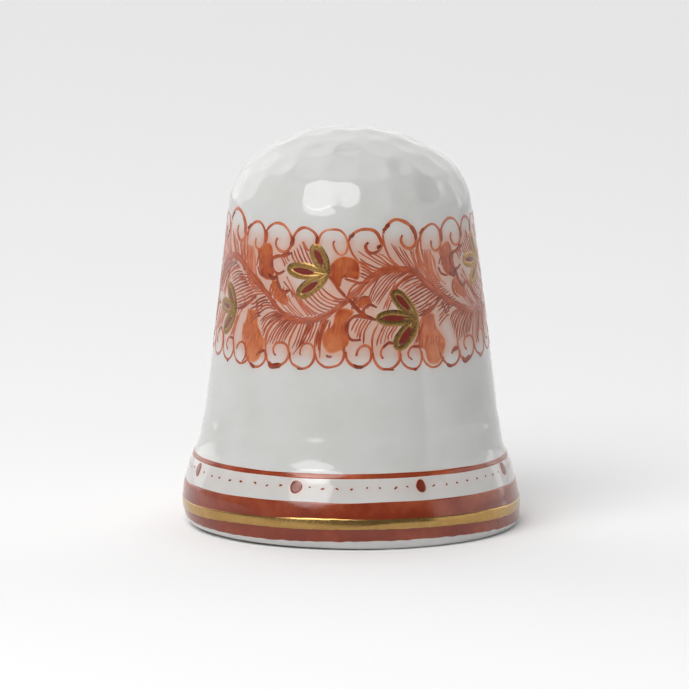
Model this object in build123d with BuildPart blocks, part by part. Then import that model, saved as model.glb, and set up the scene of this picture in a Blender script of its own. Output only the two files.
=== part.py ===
"""Porcelain sewing thimble: a glazed, slip-cast body with fired-on enamels and gilding.

The origin is the centre of the mouth on the table, +Z runs up through the crown.
Azimuth 0 faces -Y and grows towards +X. Lengths are millimetres, angles degrees.
"""
import os
from math import atan2, cos, hypot, radians, sin, sqrt, tan

from build123d import *

os.makedirs("parts", exist_ok=True)

# ---- outside form, measured over the glaze ----
HEIGHT = 26.9
CROWN_RADIUS = 11.0
SHOULDER_RADIUS = 4.5
WALL_LEAN = 6.85
WALL_RADIUS_LOW = 9.66
WALL_HEIGHT_LOW = 9.0
WALL_START_HEIGHT = 6.6
FOOT_POINTS = [
    (10.95, 0.15),
    (11.30, 0.50),
    (11.42, 1.20),
    (11.40, 1.90),
    (11.16, 3.10),
]
FOOT_SLOPE_TOP = (10.74, 4.60)
NECK_POINTS = [
    (10.50, 5.10),
    (10.20, 5.70),
]

# ---- bare foot ring ----
FOOT_RING_OUTER_RADIUS = 10.45
FOOT_RING_INNER_RADIUS = 8.95
GLAZE_EDGE_HEIGHT = 0.15

# ---- finger hollow, measured in the bare clay ----
MOUTH_RADIUS = 8.62
MOUTH_EASE_HEIGHT = 0.60
HOLLOW_SHOULDER_RADIUS = 6.75
HOLLOW_SHOULDER_HEIGHT = 20.6
HOLLOW_EASE_RADIUS = 5.0
HOLLOW_EASE_HEIGHT = 23.4
HOLLOW_TOP = 24.7

# ---- thickness of the coats ----
GLAZE = 0.10
ENAMEL = 0.05

# ---- needle dimples on the crown ----
DIMPLE_RADIUS = 6.0
DIMPLE_DEPTH = 0.10
DIMPLE_PITCH = 2.2
DIMPLE_RINGS = 4
DIMPLES_ADDED_PER_RING = 6

# ---- painted foot ----
UPPER_LINE = (4.75, 5.09)
RED_BAND = (0.72, 3.25)
GILT_BAND = (1.45, 2.22)
DOT_HEIGHT = 4.12
LARGE_DOTS = 8
LARGE_DOT_RADIUS = 0.44
FIRST_LARGE_DOT = 25.0
SMALL_DOTS_PER_GAP = 8
SMALL_DOT_RADIUS = 0.12
LARGE_DOT_CORNERS = 12
SMALL_DOT_CORNERS = 6

# ---- painted frieze: one unit, repeated round the wall ----
REPEATS = 4
STEM_MIDDLE = 16.95
STEM_SWING = 1.70
STEM_WIDTH = 0.34
SPRIG_WIDTH = 0.24
SCROLL_WIDTH = 0.19
FEATHER_WIDTH = 0.12
STROKE_TAPER = 0.45
PETAL_CLEARANCE = 0.12
BRUSH_REACH = 1.0
HOOK_START = 165
HOOK_TURN = -400
HOOK_TIGHTENING = 0.62
HOOK_POINTS = 13
LEAF_CORNERS = 12
PETAL_EDGE = [
    # share of the length from the hub, share of the half width
    (0.0, 0.10),
    (0.35, 0.62),
    (0.62, 1.0),
    (0.85, 0.85),
    (0.97, 0.40),
    (0.97, -0.40),
    (0.85, -0.85),
    (0.62, -1.0),
    (0.35, -0.62),
    (0.0, -0.10),
]

crown_centre = HEIGHT - CROWN_RADIUS
lean = radians(WALL_LEAN)
wall_up = (-sin(lean), cos(lean))


def wall_radius(height):
    """Outside radius of the straight part of the glazed wall."""
    return WALL_RADIUS_LOW - (height - WALL_HEIGHT_LOW) * tan(lean)


def shoulder_centre():
    """Centre of the shoulder arc, tangent to the crown arc and to the leaning wall."""
    wall_distance = WALL_RADIUS_LOW * cos(lean) + WALL_HEIGHT_LOW * sin(lean)
    across = wall_distance - SHOULDER_RADIUS - crown_centre * sin(lean)
    along = sqrt((CROWN_RADIUS - SHOULDER_RADIUS) ** 2 - across**2)
    radius = across * cos(lean) - along * sin(lean)
    height = crown_centre + across * sin(lean) + along * cos(lean)
    return radius, height


def outside_half_section(inset, foot_ring):
    """Half section of the whole form with its skin moved inward by inset."""
    centre_radius, centre_height = shoulder_centre()
    shoulder = SHOULDER_RADIUS - inset
    crown = CROWN_RADIUS - inset
    join = atan2(centre_height - crown_centre, centre_radius)
    shoulder_middle = (lean + join) / 2
    crown_middle = (join + radians(90)) / 2
    foot = [(radius - inset, height) for radius, height in FOOT_POINTS]
    slope_top = (FOOT_SLOPE_TOP[0] - inset, FOOT_SLOPE_TOP[1])
    slope = (slope_top[0] - foot[-1][0], slope_top[1] - foot[-1][1])
    neck = [(radius - inset, height) for radius, height in NECK_POINTS]
    wall_start = (wall_radius(WALL_START_HEIGHT) - inset / cos(lean), WALL_START_HEIGHT)
    wall_end = (centre_radius + shoulder * cos(lean), centre_height + shoulder * sin(lean))
    on_shoulder = (
        centre_radius + shoulder * cos(shoulder_middle),
        centre_height + shoulder * sin(shoulder_middle),
    )
    shoulder_end = (
        centre_radius + shoulder * cos(join),
        centre_height + shoulder * sin(join),
    )
    on_crown = (crown * cos(crown_middle), crown_centre + crown * sin(crown_middle))
    pole = (0, crown_centre + crown)
    if foot_ring:
        base = [(0, 0), (FOOT_RING_OUTER_RADIUS, 0), foot[0]]
    else:
        base = [(0, GLAZE_EDGE_HEIGHT), foot[0]]
    with BuildSketch(Plane.XZ) as section:
        with BuildLine():
            Polyline(*base)
            Spline(*foot, tangents=((1, 0.6), slope))
            Line(foot[-1], slope_top)
            Spline(slope_top, *neck, wall_start, tangents=(slope, wall_up))
            Line(wall_start, wall_end)
            ThreePointArc(wall_end, on_shoulder, shoulder_end)
            ThreePointArc(shoulder_end, on_crown, pole)
            Line(pole, base[0])
        make_face()
    return section.sketch


def hollow_half_section(inset, floor):
    """Half section of the finger hollow with its skin moved inward by inset."""
    shoulder = (HOLLOW_SHOULDER_RADIUS - inset, HOLLOW_SHOULDER_HEIGHT)
    top = (0, HOLLOW_TOP - inset)
    with BuildSketch(Plane.XZ) as section:
        with BuildLine():
            Polyline(
                (0, floor),
                (FOOT_RING_INNER_RADIUS - inset, floor),
                (MOUTH_RADIUS - inset, MOUTH_EASE_HEIGHT),
                shoulder,
            )
            Spline(
                shoulder,
                (HOLLOW_EASE_RADIUS - inset, HOLLOW_EASE_HEIGHT - inset),
                top,
                tangents=(wall_up, (-1, 0)),
            )
            Line(top, (0, floor))
        make_face()
    return section.sketch


def crown_spot(distance):
    """Radius, height and tilt of the outside at a distance from the pole along the skin."""
    centre_radius, centre_height = shoulder_centre()
    join = atan2(centre_radius, centre_height - crown_centre)
    crown_length = CROWN_RADIUS * join
    if distance <= crown_length:
        tilt = distance / CROWN_RADIUS
        return CROWN_RADIUS * sin(tilt), crown_centre + CROWN_RADIUS * cos(tilt), tilt
    tilt = join + (distance - crown_length) / SHOULDER_RADIUS
    radius = centre_radius + SHOULDER_RADIUS * sin(tilt)
    return radius, centre_height + SHOULDER_RADIUS * cos(tilt), tilt


def cut_dimples(depth_in_skin):
    """Dent the crown; a deeper skin is dented by larger balls on the same centres.

    The balls lie on their side, so that their poles stay clear of the crown they cut.
    """
    lift = DIMPLE_RADIUS - DIMPLE_DEPTH
    centres = [(0, 0, HEIGHT + lift)]
    for ring in range(1, DIMPLE_RINGS + 1):
        radius, height, tilt = crown_spot(DIMPLE_PITCH * ring)
        away = radius + lift * sin(tilt)
        count = DIMPLES_ADDED_PER_RING * ring
        for place in range(count):
            turn = radians(360 * place / count)
            centres.append((away * sin(turn), -away * cos(turn), height + lift * cos(tilt)))
    with Locations(*centres):
        Sphere(DIMPLE_RADIUS + depth_in_skin, rotation=(90, 0, 0), mode=Mode.SUBTRACT)


# ---- clay body and its two glaze coats ----
with BuildPart() as clay_form:
    add(outside_half_section(GLAZE, foot_ring=True))
    revolve(axis=Axis.Z)
    cut_dimples(GLAZE)

with BuildPart() as hollow:
    add(hollow_half_section(0, 0))
    revolve(axis=Axis.Z)

with BuildPart() as glazed_hollow:
    add(hollow_half_section(GLAZE, 0))
    revolve(axis=Axis.Z)

with BuildPart() as biscuit_body:
    add(clay_form.part)
    add(hollow.part, mode=Mode.SUBTRACT)

with BuildPart() as outer_glaze:
    add(outside_half_section(0, foot_ring=False))
    revolve(axis=Axis.Z)
    cut_dimples(0)
    add(clay_form.part, mode=Mode.SUBTRACT)

with BuildPart() as inner_glaze:
    add(hollow_half_section(0, GLAZE_EDGE_HEIGHT))
    revolve(axis=Axis.Z)
    add(glazed_hollow.part, mode=Mode.SUBTRACT)

# ---- the skin an enamel coat fills, on the glaze and on a first coat ----
with BuildPart() as glazed_form:
    add(outside_half_section(0, foot_ring=False))
    revolve(axis=Axis.Z)

with BuildPart() as enamelled_form:
    add(outside_half_section(-ENAMEL, foot_ring=False))
    revolve(axis=Axis.Z)

with BuildPart() as gilded_form:
    add(outside_half_section(-2 * ENAMEL, foot_ring=False))
    revolve(axis=Axis.Z)

with BuildPart() as enamel_skin:
    add(enamelled_form.part)
    add(glazed_form.part, mode=Mode.SUBTRACT)

with BuildPart() as gilding_skin:
    add(gilded_form.part)
    add(enamelled_form.part, mode=Mode.SUBTRACT)


def slab(low, high):
    """Wide disc between two heights, used to pick a band out of a coat."""
    with BuildSketch(Plane.XY.offset(low)) as disc:
        Circle(2 * FOOT_POINTS[2][0])
    extrude(disc.sketch, amount=high - low)


# ---- painted foot ----
with BuildPart() as foot_upper_line:
    slab(*UPPER_LINE)
    add(enamel_skin.part, mode=Mode.INTERSECT)

with BuildPart() as foot_red_band:
    slab(*RED_BAND)
    add(enamel_skin.part, mode=Mode.INTERSECT)

with BuildPart() as foot_gilt_band:
    slab(*GILT_BAND)
    add(gilding_skin.part, mode=Mode.INTERSECT)


def radial_pins(azimuths, radius, corners):
    """Pins from the axis outward, used to pick round dots out of a coat."""
    for azimuth in azimuths:
        turn = radians(azimuth)
        sideways = (cos(turn), sin(turn), 0)
        outward = (sin(turn), -cos(turn), 0)
        facing = Plane((0, 0, DOT_HEIGHT), x_dir=sideways, z_dir=outward)
        with BuildSketch(facing.offset(FOOT_SLOPE_TOP[0] - BRUSH_REACH)) as dot:
            RegularPolygon(radius, corners)
        extrude(dot.sketch, amount=3 * BRUSH_REACH)


dot_pitch = 360 / LARGE_DOTS
small_pitch = dot_pitch / (SMALL_DOTS_PER_GAP + 1)
large_azimuths = [FIRST_LARGE_DOT + dot_pitch * place for place in range(LARGE_DOTS)]
small_azimuths = [
    azimuth + small_pitch * step
    for azimuth in large_azimuths
    for step in range(1, SMALL_DOTS_PER_GAP + 1)
]

with BuildPart() as foot_large_dots:
    radial_pins(large_azimuths, LARGE_DOT_RADIUS, LARGE_DOT_CORNERS)
    add(enamel_skin.part, mode=Mode.INTERSECT)

with BuildPart() as foot_small_dots:
    radial_pins(small_azimuths, SMALL_DOT_RADIUS, SMALL_DOT_CORNERS)
    add(enamel_skin.part, mode=Mode.INTERSECT)


# ---- brush strokes, drawn as (azimuth, height) on planes that touch the wall ----
def wall_point(azimuth, height):
    """Point on the glazed wall."""
    turn = radians(azimuth)
    radius = wall_radius(height)
    return Vector(radius * sin(turn), -radius * cos(turn), height)


def touching_plane(azimuth, height):
    """Plane touching the wall: x to the right round the thimble, y up the wall."""
    turn = radians(azimuth)
    outward = (sin(turn) * cos(lean), -cos(turn) * cos(lean), sin(lean))
    return Plane(wall_point(azimuth, height), x_dir=(cos(turn), sin(turn), 0), z_dir=outward)


def flatten(plane, points):
    """The wall points seen square on from a touching plane."""
    seen = [plane.to_local_coords(wall_point(*point)) for point in points]
    return [(point.X, point.Y) for point in seen]


def stamp(plane, outline):
    """Prism through the wall behind a closed outline drawn on a touching plane."""
    with BuildSketch(plane) as mark:
        with BuildLine():
            Polyline(*outline, close=True)
        make_face()
    extrude(mark.sketch, amount=BRUSH_REACH, both=True)


def stroke(points, width):
    """One brush stroke through the points, thinner towards both ends."""
    plane = touching_plane(*points[len(points) // 2])
    path = flatten(plane, points)
    last = len(path) - 1
    left = []
    right = []
    for place, (x, y) in enumerate(path):
        before = path[max(place - 1, 0)]
        after = path[min(place + 1, last)]
        run = (after[0] - before[0], after[1] - before[1])
        fullness = 1 - STROKE_TAPER * (place in (0, last))
        half = width / 2 * fullness / hypot(*run)
        left.append((x - run[1] * half, y + run[0] * half))
        right.append((x + run[1] * half, y - run[0] * half))
    stamp(plane, left + right[::-1])


def hook(centre, half_width, crest, fall):
    """Border scroll: over the crest, round its right side and curled up inside."""
    points = []
    for step in range(HOOK_POINTS):
        share = step / (HOOK_POINTS - 1)
        angle = radians(HOOK_START + HOOK_TURN * share)
        size = 1 - HOOK_TIGHTENING * share**2
        azimuth = centre + half_width * size * cos(angle)
        height = crest + fall / 2 * (1 - size * sin(angle))
        points.append((azimuth, height))
    stroke(points, SCROLL_WIDTH)


def fan(roots, tips, bow, count):
    """Feather strokes from a line of roots to a line of tips, each bowed upward."""
    for place in range(count):
        share = place / (count - 1)
        root = [roots[0][axis] + share * (roots[1][axis] - roots[0][axis]) for axis in (0, 1)]
        tip = [tips[0][axis] + share * (tips[1][axis] - tips[0][axis]) for axis in (0, 1)]
        middle = ((root[0] + tip[0]) / 2, (root[1] + tip[1]) / 2 + bow)
        stroke([tuple(root), middle, tuple(tip)], FEATHER_WIDTH)


def petals(hub, tips, inner, outer, half_width):
    """Three teardrops opening from a hub, drawn from inner to outer share of their length."""
    plane = touching_plane(*hub)
    centre = flatten(plane, [hub])[0]
    for tip in flatten(plane, tips):
        reach = (tip[0] - centre[0], tip[1] - centre[1])
        length = hypot(*reach)
        edge = []
        for place, side in PETAL_EDGE:
            along = inner + (outer - inner) * place
            aside = side * half_width / length
            x = centre[0] + reach[0] * along - reach[1] * aside
            y = centre[1] + reach[1] * along + reach[0] * aside
            edge.append((x, y))
        stamp(plane, edge)


def leaf(centre, length, width, tilt):
    """One leaf wash, an oval dab."""
    angles = [radians(360 * corner / LEAF_CORNERS) for corner in range(LEAF_CORNERS)]
    plane = touching_plane(*centre).rotated((0, 0, tilt))
    stamp(plane, [(length / 2 * cos(angle), width / 2 * sin(angle)) for angle in angles])


UPPER_FLOWER = ((-11.0, 18.43), [(-18.0, 20.31), (-29.8, 18.73), (-23.5, 16.96)])
LOWER_FLOWER = ((29.3, 15.38), [(19.0, 17.16), (10.8, 15.48), (20.0, 13.35)])
FLOWERS = (UPPER_FLOWER, LOWER_FLOWER)

# crest azimuth, half width and crest height of each border scroll
UPPER_SCROLLS = [
    (-49.0, 6.2, 21.48),
    (-36.0, 7.6, 21.58),
    (-21.7, 6.0, 21.43),
    (-8.3, 6.8, 21.43),
    (7.0, 7.3, 21.43),
    (23.3, 8.0, 21.93),
]
LOWER_SCROLLS = [
    (-43.8, 5.8, 11.88),
    (-32.6, 5.6, 12.15),
    (-20.8, 5.4, 12.03),
    (-9.2, 5.8, 12.15),
    (3.2, 5.6, 12.15),
    (15.0, 5.6, 12.01),
    (26.4, 4.8, 11.93),
    (36.4, 5.0, 11.93),
]
UPPER_SCROLL_FALL = -1.70
LOWER_SCROLL_FALL = 1.55

SPRIGS = [
    [(-1.0, 16.80), (-6.0, 17.62), (-9.6, 18.33)],
    [(-1.0, 16.80), (4.0, 15.89), (11.0, 15.38)],
    [(44.0, 16.60), (37.5, 15.89), (31.0, 15.48)],
    [(-28.0, 19.75), (-37.0, 19.34), (-38.2, 18.73), (-35.0, 18.28), (-30.6, 18.53)],
    [(-34.6, 18.23), (-33.4, 17.62), (-31.4, 17.16), (-27.8, 17.21)],
    [(9.6, 15.43), (2.0, 15.64), (-1.4, 15.08), (-0.6, 14.21), (4.5, 14.06)],
    [(12.0, 16.19), (8.4, 16.35), (6.0, 15.99), (8.6, 15.48)],
]

FEATHERS = [
    # roots, tips, bow and number of strokes
    (((13.0, 18.68), (24.0, 18.89)), ((2.5, 19.14), (15.0, 19.55)), -0.12, 4),
    (((26.0, 18.78), (36.0, 17.97)), ((18.5, 20.26), (31.5, 19.65)), -0.10, 4),
    (((24.0, 18.38), (41.5, 16.80)), ((8.2, 16.80), (30.5, 15.99)), 0.35, 6),
    (((-24.0, 15.53), (-4.0, 16.60)), ((-32.0, 16.09), (-13.0, 17.21)), -0.14, 5),
    (((-36.0, 15.79), (-27.0, 15.23)), ((-44.0, 15.08), (-38.0, 13.86)), 0.22, 4),
    (((-24.5, 15.13), (-16.0, 15.33)), ((-34.0, 14.06), (-24.5, 13.55)), 0.16, 4),
]

LEAVES = [
    ((-42.0, 18.84), 1.9, 1.2, -50),
    ((-32.4, 16.75), 1.5, 0.7, -38),
    ((-3.0, 18.68), 1.7, 1.3, 5),
    ((5.6, 16.70), 0.8, 0.55, 0),
    ((-6.2, 14.47), 2.3, 1.2, 62),
    ((37.0, 14.16), 2.6, 1.4, -62),
]


def stem_height(azimuth):
    """The waving stem rises and falls once in every unit."""
    return STEM_MIDDLE + STEM_SWING * sin(radians(REPEATS * azimuth))


def repeated(unit):
    """Copy one painted unit round the wall."""
    with PolarLocations(0, REPEATS):
        add(unit.part)


with BuildPart() as petal_unit:
    for hub, tips in FLOWERS:
        petals(hub, tips, 0.0, 1.0, 0.44)

with BuildPart() as petal_margin_unit:
    for hub, tips in FLOWERS:
        petals(hub, tips, -0.05, 1.05, 0.44 + PETAL_CLEARANCE)

with BuildPart() as heart_unit:
    for hub, tips in FLOWERS:
        petals(hub, tips, 0.28, 0.84, 0.20)

with BuildPart() as stem_unit:
    for start in (-48, -24, 0, 24):
        stroke([(start + step, stem_height(start + step)) for step in (-1, 6, 12, 18, 25)], STEM_WIDTH)
    for points in SPRIGS:
        stroke(points, SPRIG_WIDTH)
    add(petal_margin_unit.part, mode=Mode.SUBTRACT)

with BuildPart() as upper_scroll_unit:
    for centre, half_width, crest in UPPER_SCROLLS:
        hook(centre, half_width, crest, UPPER_SCROLL_FALL)

with BuildPart() as lower_scroll_unit:
    for centre, half_width, crest in LOWER_SCROLLS:
        hook(centre, half_width, crest, LOWER_SCROLL_FALL)

with BuildPart() as feather_unit:
    for roots, tips, bow, count in FEATHERS:
        fan(roots, tips, bow, count)

with BuildPart() as leaf_unit:
    for centre, length, width, tilt in LEAVES:
        leaf(centre, length, width, tilt)

with BuildPart() as flower_red_hearts:
    repeated(heart_unit)
    add(enamel_skin.part, mode=Mode.INTERSECT)

with BuildPart() as flower_gilt_petals:
    repeated(petal_unit)
    add(enamel_skin.part, mode=Mode.INTERSECT)
    add(flower_red_hearts.part, mode=Mode.SUBTRACT)

with BuildPart() as frieze_stem:
    repeated(stem_unit)
    add(enamel_skin.part, mode=Mode.INTERSECT)

with BuildPart() as frieze_upper_scrolls:
    repeated(upper_scroll_unit)
    add(enamel_skin.part, mode=Mode.INTERSECT)
    add(flower_gilt_petals.part, mode=Mode.SUBTRACT)
    add(frieze_stem.part, mode=Mode.SUBTRACT)

with BuildPart() as frieze_lower_scrolls:
    repeated(lower_scroll_unit)
    add(enamel_skin.part, mode=Mode.INTERSECT)
    add(flower_gilt_petals.part, mode=Mode.SUBTRACT)
    add(frieze_stem.part, mode=Mode.SUBTRACT)

with BuildPart() as frieze_leaf_washes:
    repeated(leaf_unit)
    add(enamel_skin.part, mode=Mode.INTERSECT)
    add(flower_gilt_petals.part, mode=Mode.SUBTRACT)
    add(frieze_stem.part, mode=Mode.SUBTRACT)
    add(frieze_upper_scrolls.part, mode=Mode.SUBTRACT)
    add(frieze_lower_scrolls.part, mode=Mode.SUBTRACT)

with BuildPart() as petal_margins:
    repeated(petal_margin_unit)

with BuildPart() as frieze_feather_lines:
    repeated(feather_unit)
    add(enamel_skin.part, mode=Mode.INTERSECT)
    add(petal_margins.part, mode=Mode.SUBTRACT)
    add(frieze_stem.part, mode=Mode.SUBTRACT)
    add(frieze_upper_scrolls.part, mode=Mode.SUBTRACT)
    add(frieze_lower_scrolls.part, mode=Mode.SUBTRACT)
    add(frieze_leaf_washes.part, mode=Mode.SUBTRACT)

# ---- one file for each piece ----
PIECES = {
    "biscuit_body": biscuit_body,
    "outer_glaze": outer_glaze,
    "inner_glaze": inner_glaze,
    "foot_upper_line": foot_upper_line,
    "foot_large_dots": foot_large_dots,
    "foot_small_dots": foot_small_dots,
    "foot_red_band": foot_red_band,
    "foot_gilt_band": foot_gilt_band,
    "frieze_stem": frieze_stem,
    "frieze_upper_scrolls": frieze_upper_scrolls,
    "frieze_lower_scrolls": frieze_lower_scrolls,
    "frieze_feather_lines": frieze_feather_lines,
    "frieze_leaf_washes": frieze_leaf_washes,
    "flower_gilt_petals": flower_gilt_petals,
    "flower_red_hearts": flower_red_hearts,
}
for name, piece in PIECES.items():
    piece.part.label = name
    export_step(piece.part, f"parts/{name}.step")
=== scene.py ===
import math
import random

import bpy
import numpy as np
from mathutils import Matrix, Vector


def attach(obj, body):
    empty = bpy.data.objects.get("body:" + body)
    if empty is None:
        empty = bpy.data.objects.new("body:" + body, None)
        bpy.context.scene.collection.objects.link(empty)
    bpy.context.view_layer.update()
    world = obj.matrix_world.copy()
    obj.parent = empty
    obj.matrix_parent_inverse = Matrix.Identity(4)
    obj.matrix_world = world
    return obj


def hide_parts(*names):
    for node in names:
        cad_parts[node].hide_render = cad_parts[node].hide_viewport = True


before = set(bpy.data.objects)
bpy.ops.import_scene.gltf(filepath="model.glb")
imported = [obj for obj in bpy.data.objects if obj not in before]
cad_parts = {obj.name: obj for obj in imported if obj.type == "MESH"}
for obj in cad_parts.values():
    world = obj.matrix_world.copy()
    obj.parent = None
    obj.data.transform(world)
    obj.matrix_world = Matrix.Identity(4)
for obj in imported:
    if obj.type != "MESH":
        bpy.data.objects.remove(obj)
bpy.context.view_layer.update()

MM = 0.001
DEG = math.pi / 180

# ------------------------------------------------------------------ outside form, millimetres
HEIGHT = 26.9
CROWN_RADIUS = 11.0
CROWN_CENTRE = HEIGHT - CROWN_RADIUS
SHOULDER_RADIUS = 4.5
LEAN = 6.85 * DEG
WALL_RADIUS_LOW = 9.66
WALL_HEIGHT_LOW = 9.0
WALL_START_HEIGHT = 7.6
WALL_STRAIGHT_FROM = 8.2
# (radius, height) from the edge of the foot ring, over the roll of the foot, up to the neck
FOOT_POINTS = [
    (10.55, 0.04), (10.86, 0.09), (11.07, 0.22), (11.21, 0.46), (11.28, 0.80), (11.32, 1.13), (11.33, 1.47),
    (11.31, 1.81), (11.25, 2.20), (11.15, 2.83), (10.98, 3.51), (10.77, 4.20), (10.64, 4.54), (10.50, 4.88),
    (10.34, 5.22), (10.22, 5.56), (10.14, 5.92), (10.07, 6.30), (9.97, 6.92),
]
WIDEST = 11.35
LOWEST = 0.005
PROFILE_STEP = 0.05
# samples beside the pole, where the skin is level and height no longer tells places apart
POLE_SAMPLES = 40
CALM_ROUND_POLE = 3.0
DIMPLE_PITCH = 2.2
DIMPLE_RINGS = 4
DIMPLE_DEPTH = 0.095
DIMPLE_REACH = 1.22
# how far the form leans to the right of its axis, by height
SIDE_DRIFT = [
    (0.3, 0.15), (0.8, 0.11), (1.4, 0.06), (2.0, 0.01), (2.8, -0.03), (5.0, -0.03), (6.0, 0.03), (9.0, 0.06),
    (15.0, 0.05), (20.0, 0.0), (24.0, -0.04),
]
# swellings of the cast skin: depth, waves round the form, phase, turn per mm of height
SKIN_WAVES = [
    (0.022, 1, 0.7, 0.0), (0.014, 2, 2.1, 0.15), (0.010, 3, -1.0, 0.3), (0.008, 9, 0.0, -0.7),
    (0.006, 5, 0.271, 0.1), (-0.006, 5, 2.871, 1.7),
]
CALM_SHARE = 0.25
FOOT_TOP, FOOT_FADE = 6.0, 4.0


def wall_radius(height):
    return WALL_RADIUS_LOW - (height - WALL_HEIGHT_LOW) * math.tan(LEAN)


def shoulder_centre():
    """Centre of the arc that touches both the straight wall and the crown."""
    distance = WALL_RADIUS_LOW * math.cos(LEAN) + WALL_HEIGHT_LOW * math.sin(LEAN)
    across = distance - SHOULDER_RADIUS - CROWN_CENTRE * math.sin(LEAN)
    along = math.sqrt((CROWN_RADIUS - SHOULDER_RADIUS) ** 2 - across ** 2)
    return (across * math.cos(LEAN) - along * math.sin(LEAN),
            CROWN_CENTRE + across * math.sin(LEAN) + along * math.cos(LEAN))


def catmull(points, step):
    """Smooth curve through the points, resampled at about equal steps."""
    p = np.array(points, float)
    p = np.vstack([2 * p[0] - p[1], p, 2 * p[-1] - p[-2]])
    t = np.linspace(0, 1, 24, endpoint=False)[:, None]
    out = []
    for a, b, c, d in zip(p, p[1:], p[2:], p[3:]):
        out.append(0.5 * ((2 * b) + (c - a) * t + (2 * a - 5 * b + 4 * c - d) * t ** 2
                          + (3 * b - a - 3 * c + d) * t ** 3))
    out.append(p[-2][None])
    return resample(np.vstack(out), step)


def resample(path, step):
    length = np.concatenate([[0], np.cumsum(np.linalg.norm(np.diff(path, axis=0), axis=1))])
    count = max(3, int(round(length[-1] / step)) + 1)
    at = np.linspace(0, length[-1], count)
    return np.stack([np.interp(at, length, path[:, k]) for k in range(path.shape[1])], 1)


def arc(centre, radius, start, end, count):
    angle = np.linspace(start, end, count)[:, None]
    return np.array([centre]) + radius * np.hstack([np.cos(angle), np.sin(angle)])


def outside_profile(step):
    """(radius, height) from the edge of the foot ring to the pole."""
    centre = shoulder_centre()
    join = math.atan2(centre[1] - CROWN_CENTRE, centre[0])
    wall_ends = [(wall_radius(height), height) for height in (WALL_START_HEIGHT, WALL_STRAIGHT_FROM)]
    foot = catmull(FOOT_POINTS + wall_ends, step / 4)
    shoulder = arc(centre, SHOULDER_RADIUS, LEAN, join, 60)
    wall = np.linspace(wall_ends[1], shoulder[0], 60)
    crown = arc((0, CROWN_CENTRE), CROWN_RADIUS, join, math.pi / 2, 80)
    crown[-1, 0] = 0
    return resample(np.vstack([foot, wall[1:], shoulder[1:], crown[1:]]), step)


PROFILE = outside_profile(PROFILE_STEP)
TANGENT = np.gradient(PROFILE, axis=0)
TANGENT /= np.linalg.norm(TANGENT, axis=1)[:, None]
NORMAL = np.stack([TANGENT[:, 1], -TANGENT[:, 0]], 1)
LENGTH = np.concatenate([[0], np.cumsum(np.linalg.norm(np.diff(PROFILE, axis=0), axis=1))])
TOTAL = LENGTH[-1]
SIDE_RADII, SIDE_HEIGHTS = PROFILE[:-POLE_SAMPLES].T


def unevenness(azimuth, height):
    """How far the cast skin strays outward, in millimetres, most on the foot."""
    a = np.asarray(azimuth) * DEG
    z = np.asarray(height)
    foot = np.clip((FOOT_TOP - z) / FOOT_FADE, 0, 1)
    waves = sum(depth * np.sin(count * a + phase + twist * z) for depth, count, phase, twist in SKIN_WAVES)
    sideways = np.interp(z, *zip(*SIDE_DRIFT)) * np.sin(a)
    return waves * (CALM_SHARE + (1 - CALM_SHARE) * foot) + sideways


def skin_at(azimuth, s, lift=0.0):
    """Points on the outside by azimuth (degrees) and length along the profile, raised by lift, in mm."""
    r, z = (np.interp(s, LENGTH, PROFILE[:, k]) for k in range(2))
    nr, nz = (np.interp(s, LENGTH, NORMAL[:, k]) for k in range(2))
    waver = unevenness(azimuth, z) * np.clip((TOTAL - s) / CALM_ROUND_POLE, 0, 1)
    a = np.asarray(azimuth) * DEG
    radius = np.minimum(r + nr * waver, WIDEST) + nr * lift
    height = np.maximum(z + nz * (waver + lift), LOWEST)
    return np.stack([radius * np.sin(a), -radius * np.cos(a), height], -1)


def skin(azimuth, height, lift=0.0):
    """The same by azimuth and height, anywhere below the pole."""
    azimuth, height = np.broadcast_arrays(np.asarray(azimuth, float), np.asarray(height, float))
    return skin_at(azimuth, np.interp(height, SIDE_HEIGHTS, LENGTH[:-POLE_SAMPLES]), lift)


def dimple_centres(seed):
    """(azimuth, length along the profile, strength) of the pole dimple and of the rings round it."""
    rng = random.Random(seed)
    spots = [(0.0, TOTAL, 1.0)]
    for ring in range(1, DIMPLE_RINGS + 1):
        pitch = 360 / (6 * ring)
        turn = rng.uniform(0, 360)
        for k in range(6 * ring):
            azimuth = turn + pitch * k + rng.uniform(-0.05, 0.05) * pitch
            s = TOTAL - DIMPLE_PITCH * ring + rng.uniform(-0.08, 0.08)
            spots.append((azimuth, s, rng.uniform(0.75, 1.15)))
    return spots


def dimple_depth(points, spots):
    """How far each point is pushed in by the shallow round dents."""
    depth = np.zeros(len(points))
    for azimuth, s, strength in spots:
        centre = skin_at(np.array(azimuth), np.array(s))
        d = np.clip(np.linalg.norm(points - centre, axis=1) / DIMPLE_REACH, 0, 1)
        depth = np.maximum(depth, DIMPLE_DEPTH * strength * (1 - d ** 2) ** 2)
    return depth


# ------------------------------------------------------------------ mesh helpers
# a face looks away from the axis at its own height, and above this height from this point of the axis
INSIDE_TOP = 14.0


def build(name, points, faces, attributes, material):
    """A mesh piece from millimetre points in the shared frame."""
    mesh = bpy.data.meshes.new(name)
    mesh.from_pydata((np.asarray(points) * MM).tolist(), [], [tuple(int(i) for i in f) for f in faces])
    for key, values in attributes.items():
        layer = mesh.attributes.new(key, "FLOAT", "POINT")
        layer.data.foreach_set("value", np.asarray(values, np.float32))
    mesh.polygons.foreach_set("use_smooth", [True] * len(mesh.polygons))
    mesh.materials.append(material)
    mesh.update()
    piece = bpy.data.objects.new(name, mesh)
    bpy.context.scene.collection.objects.link(piece)
    return piece


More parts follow.
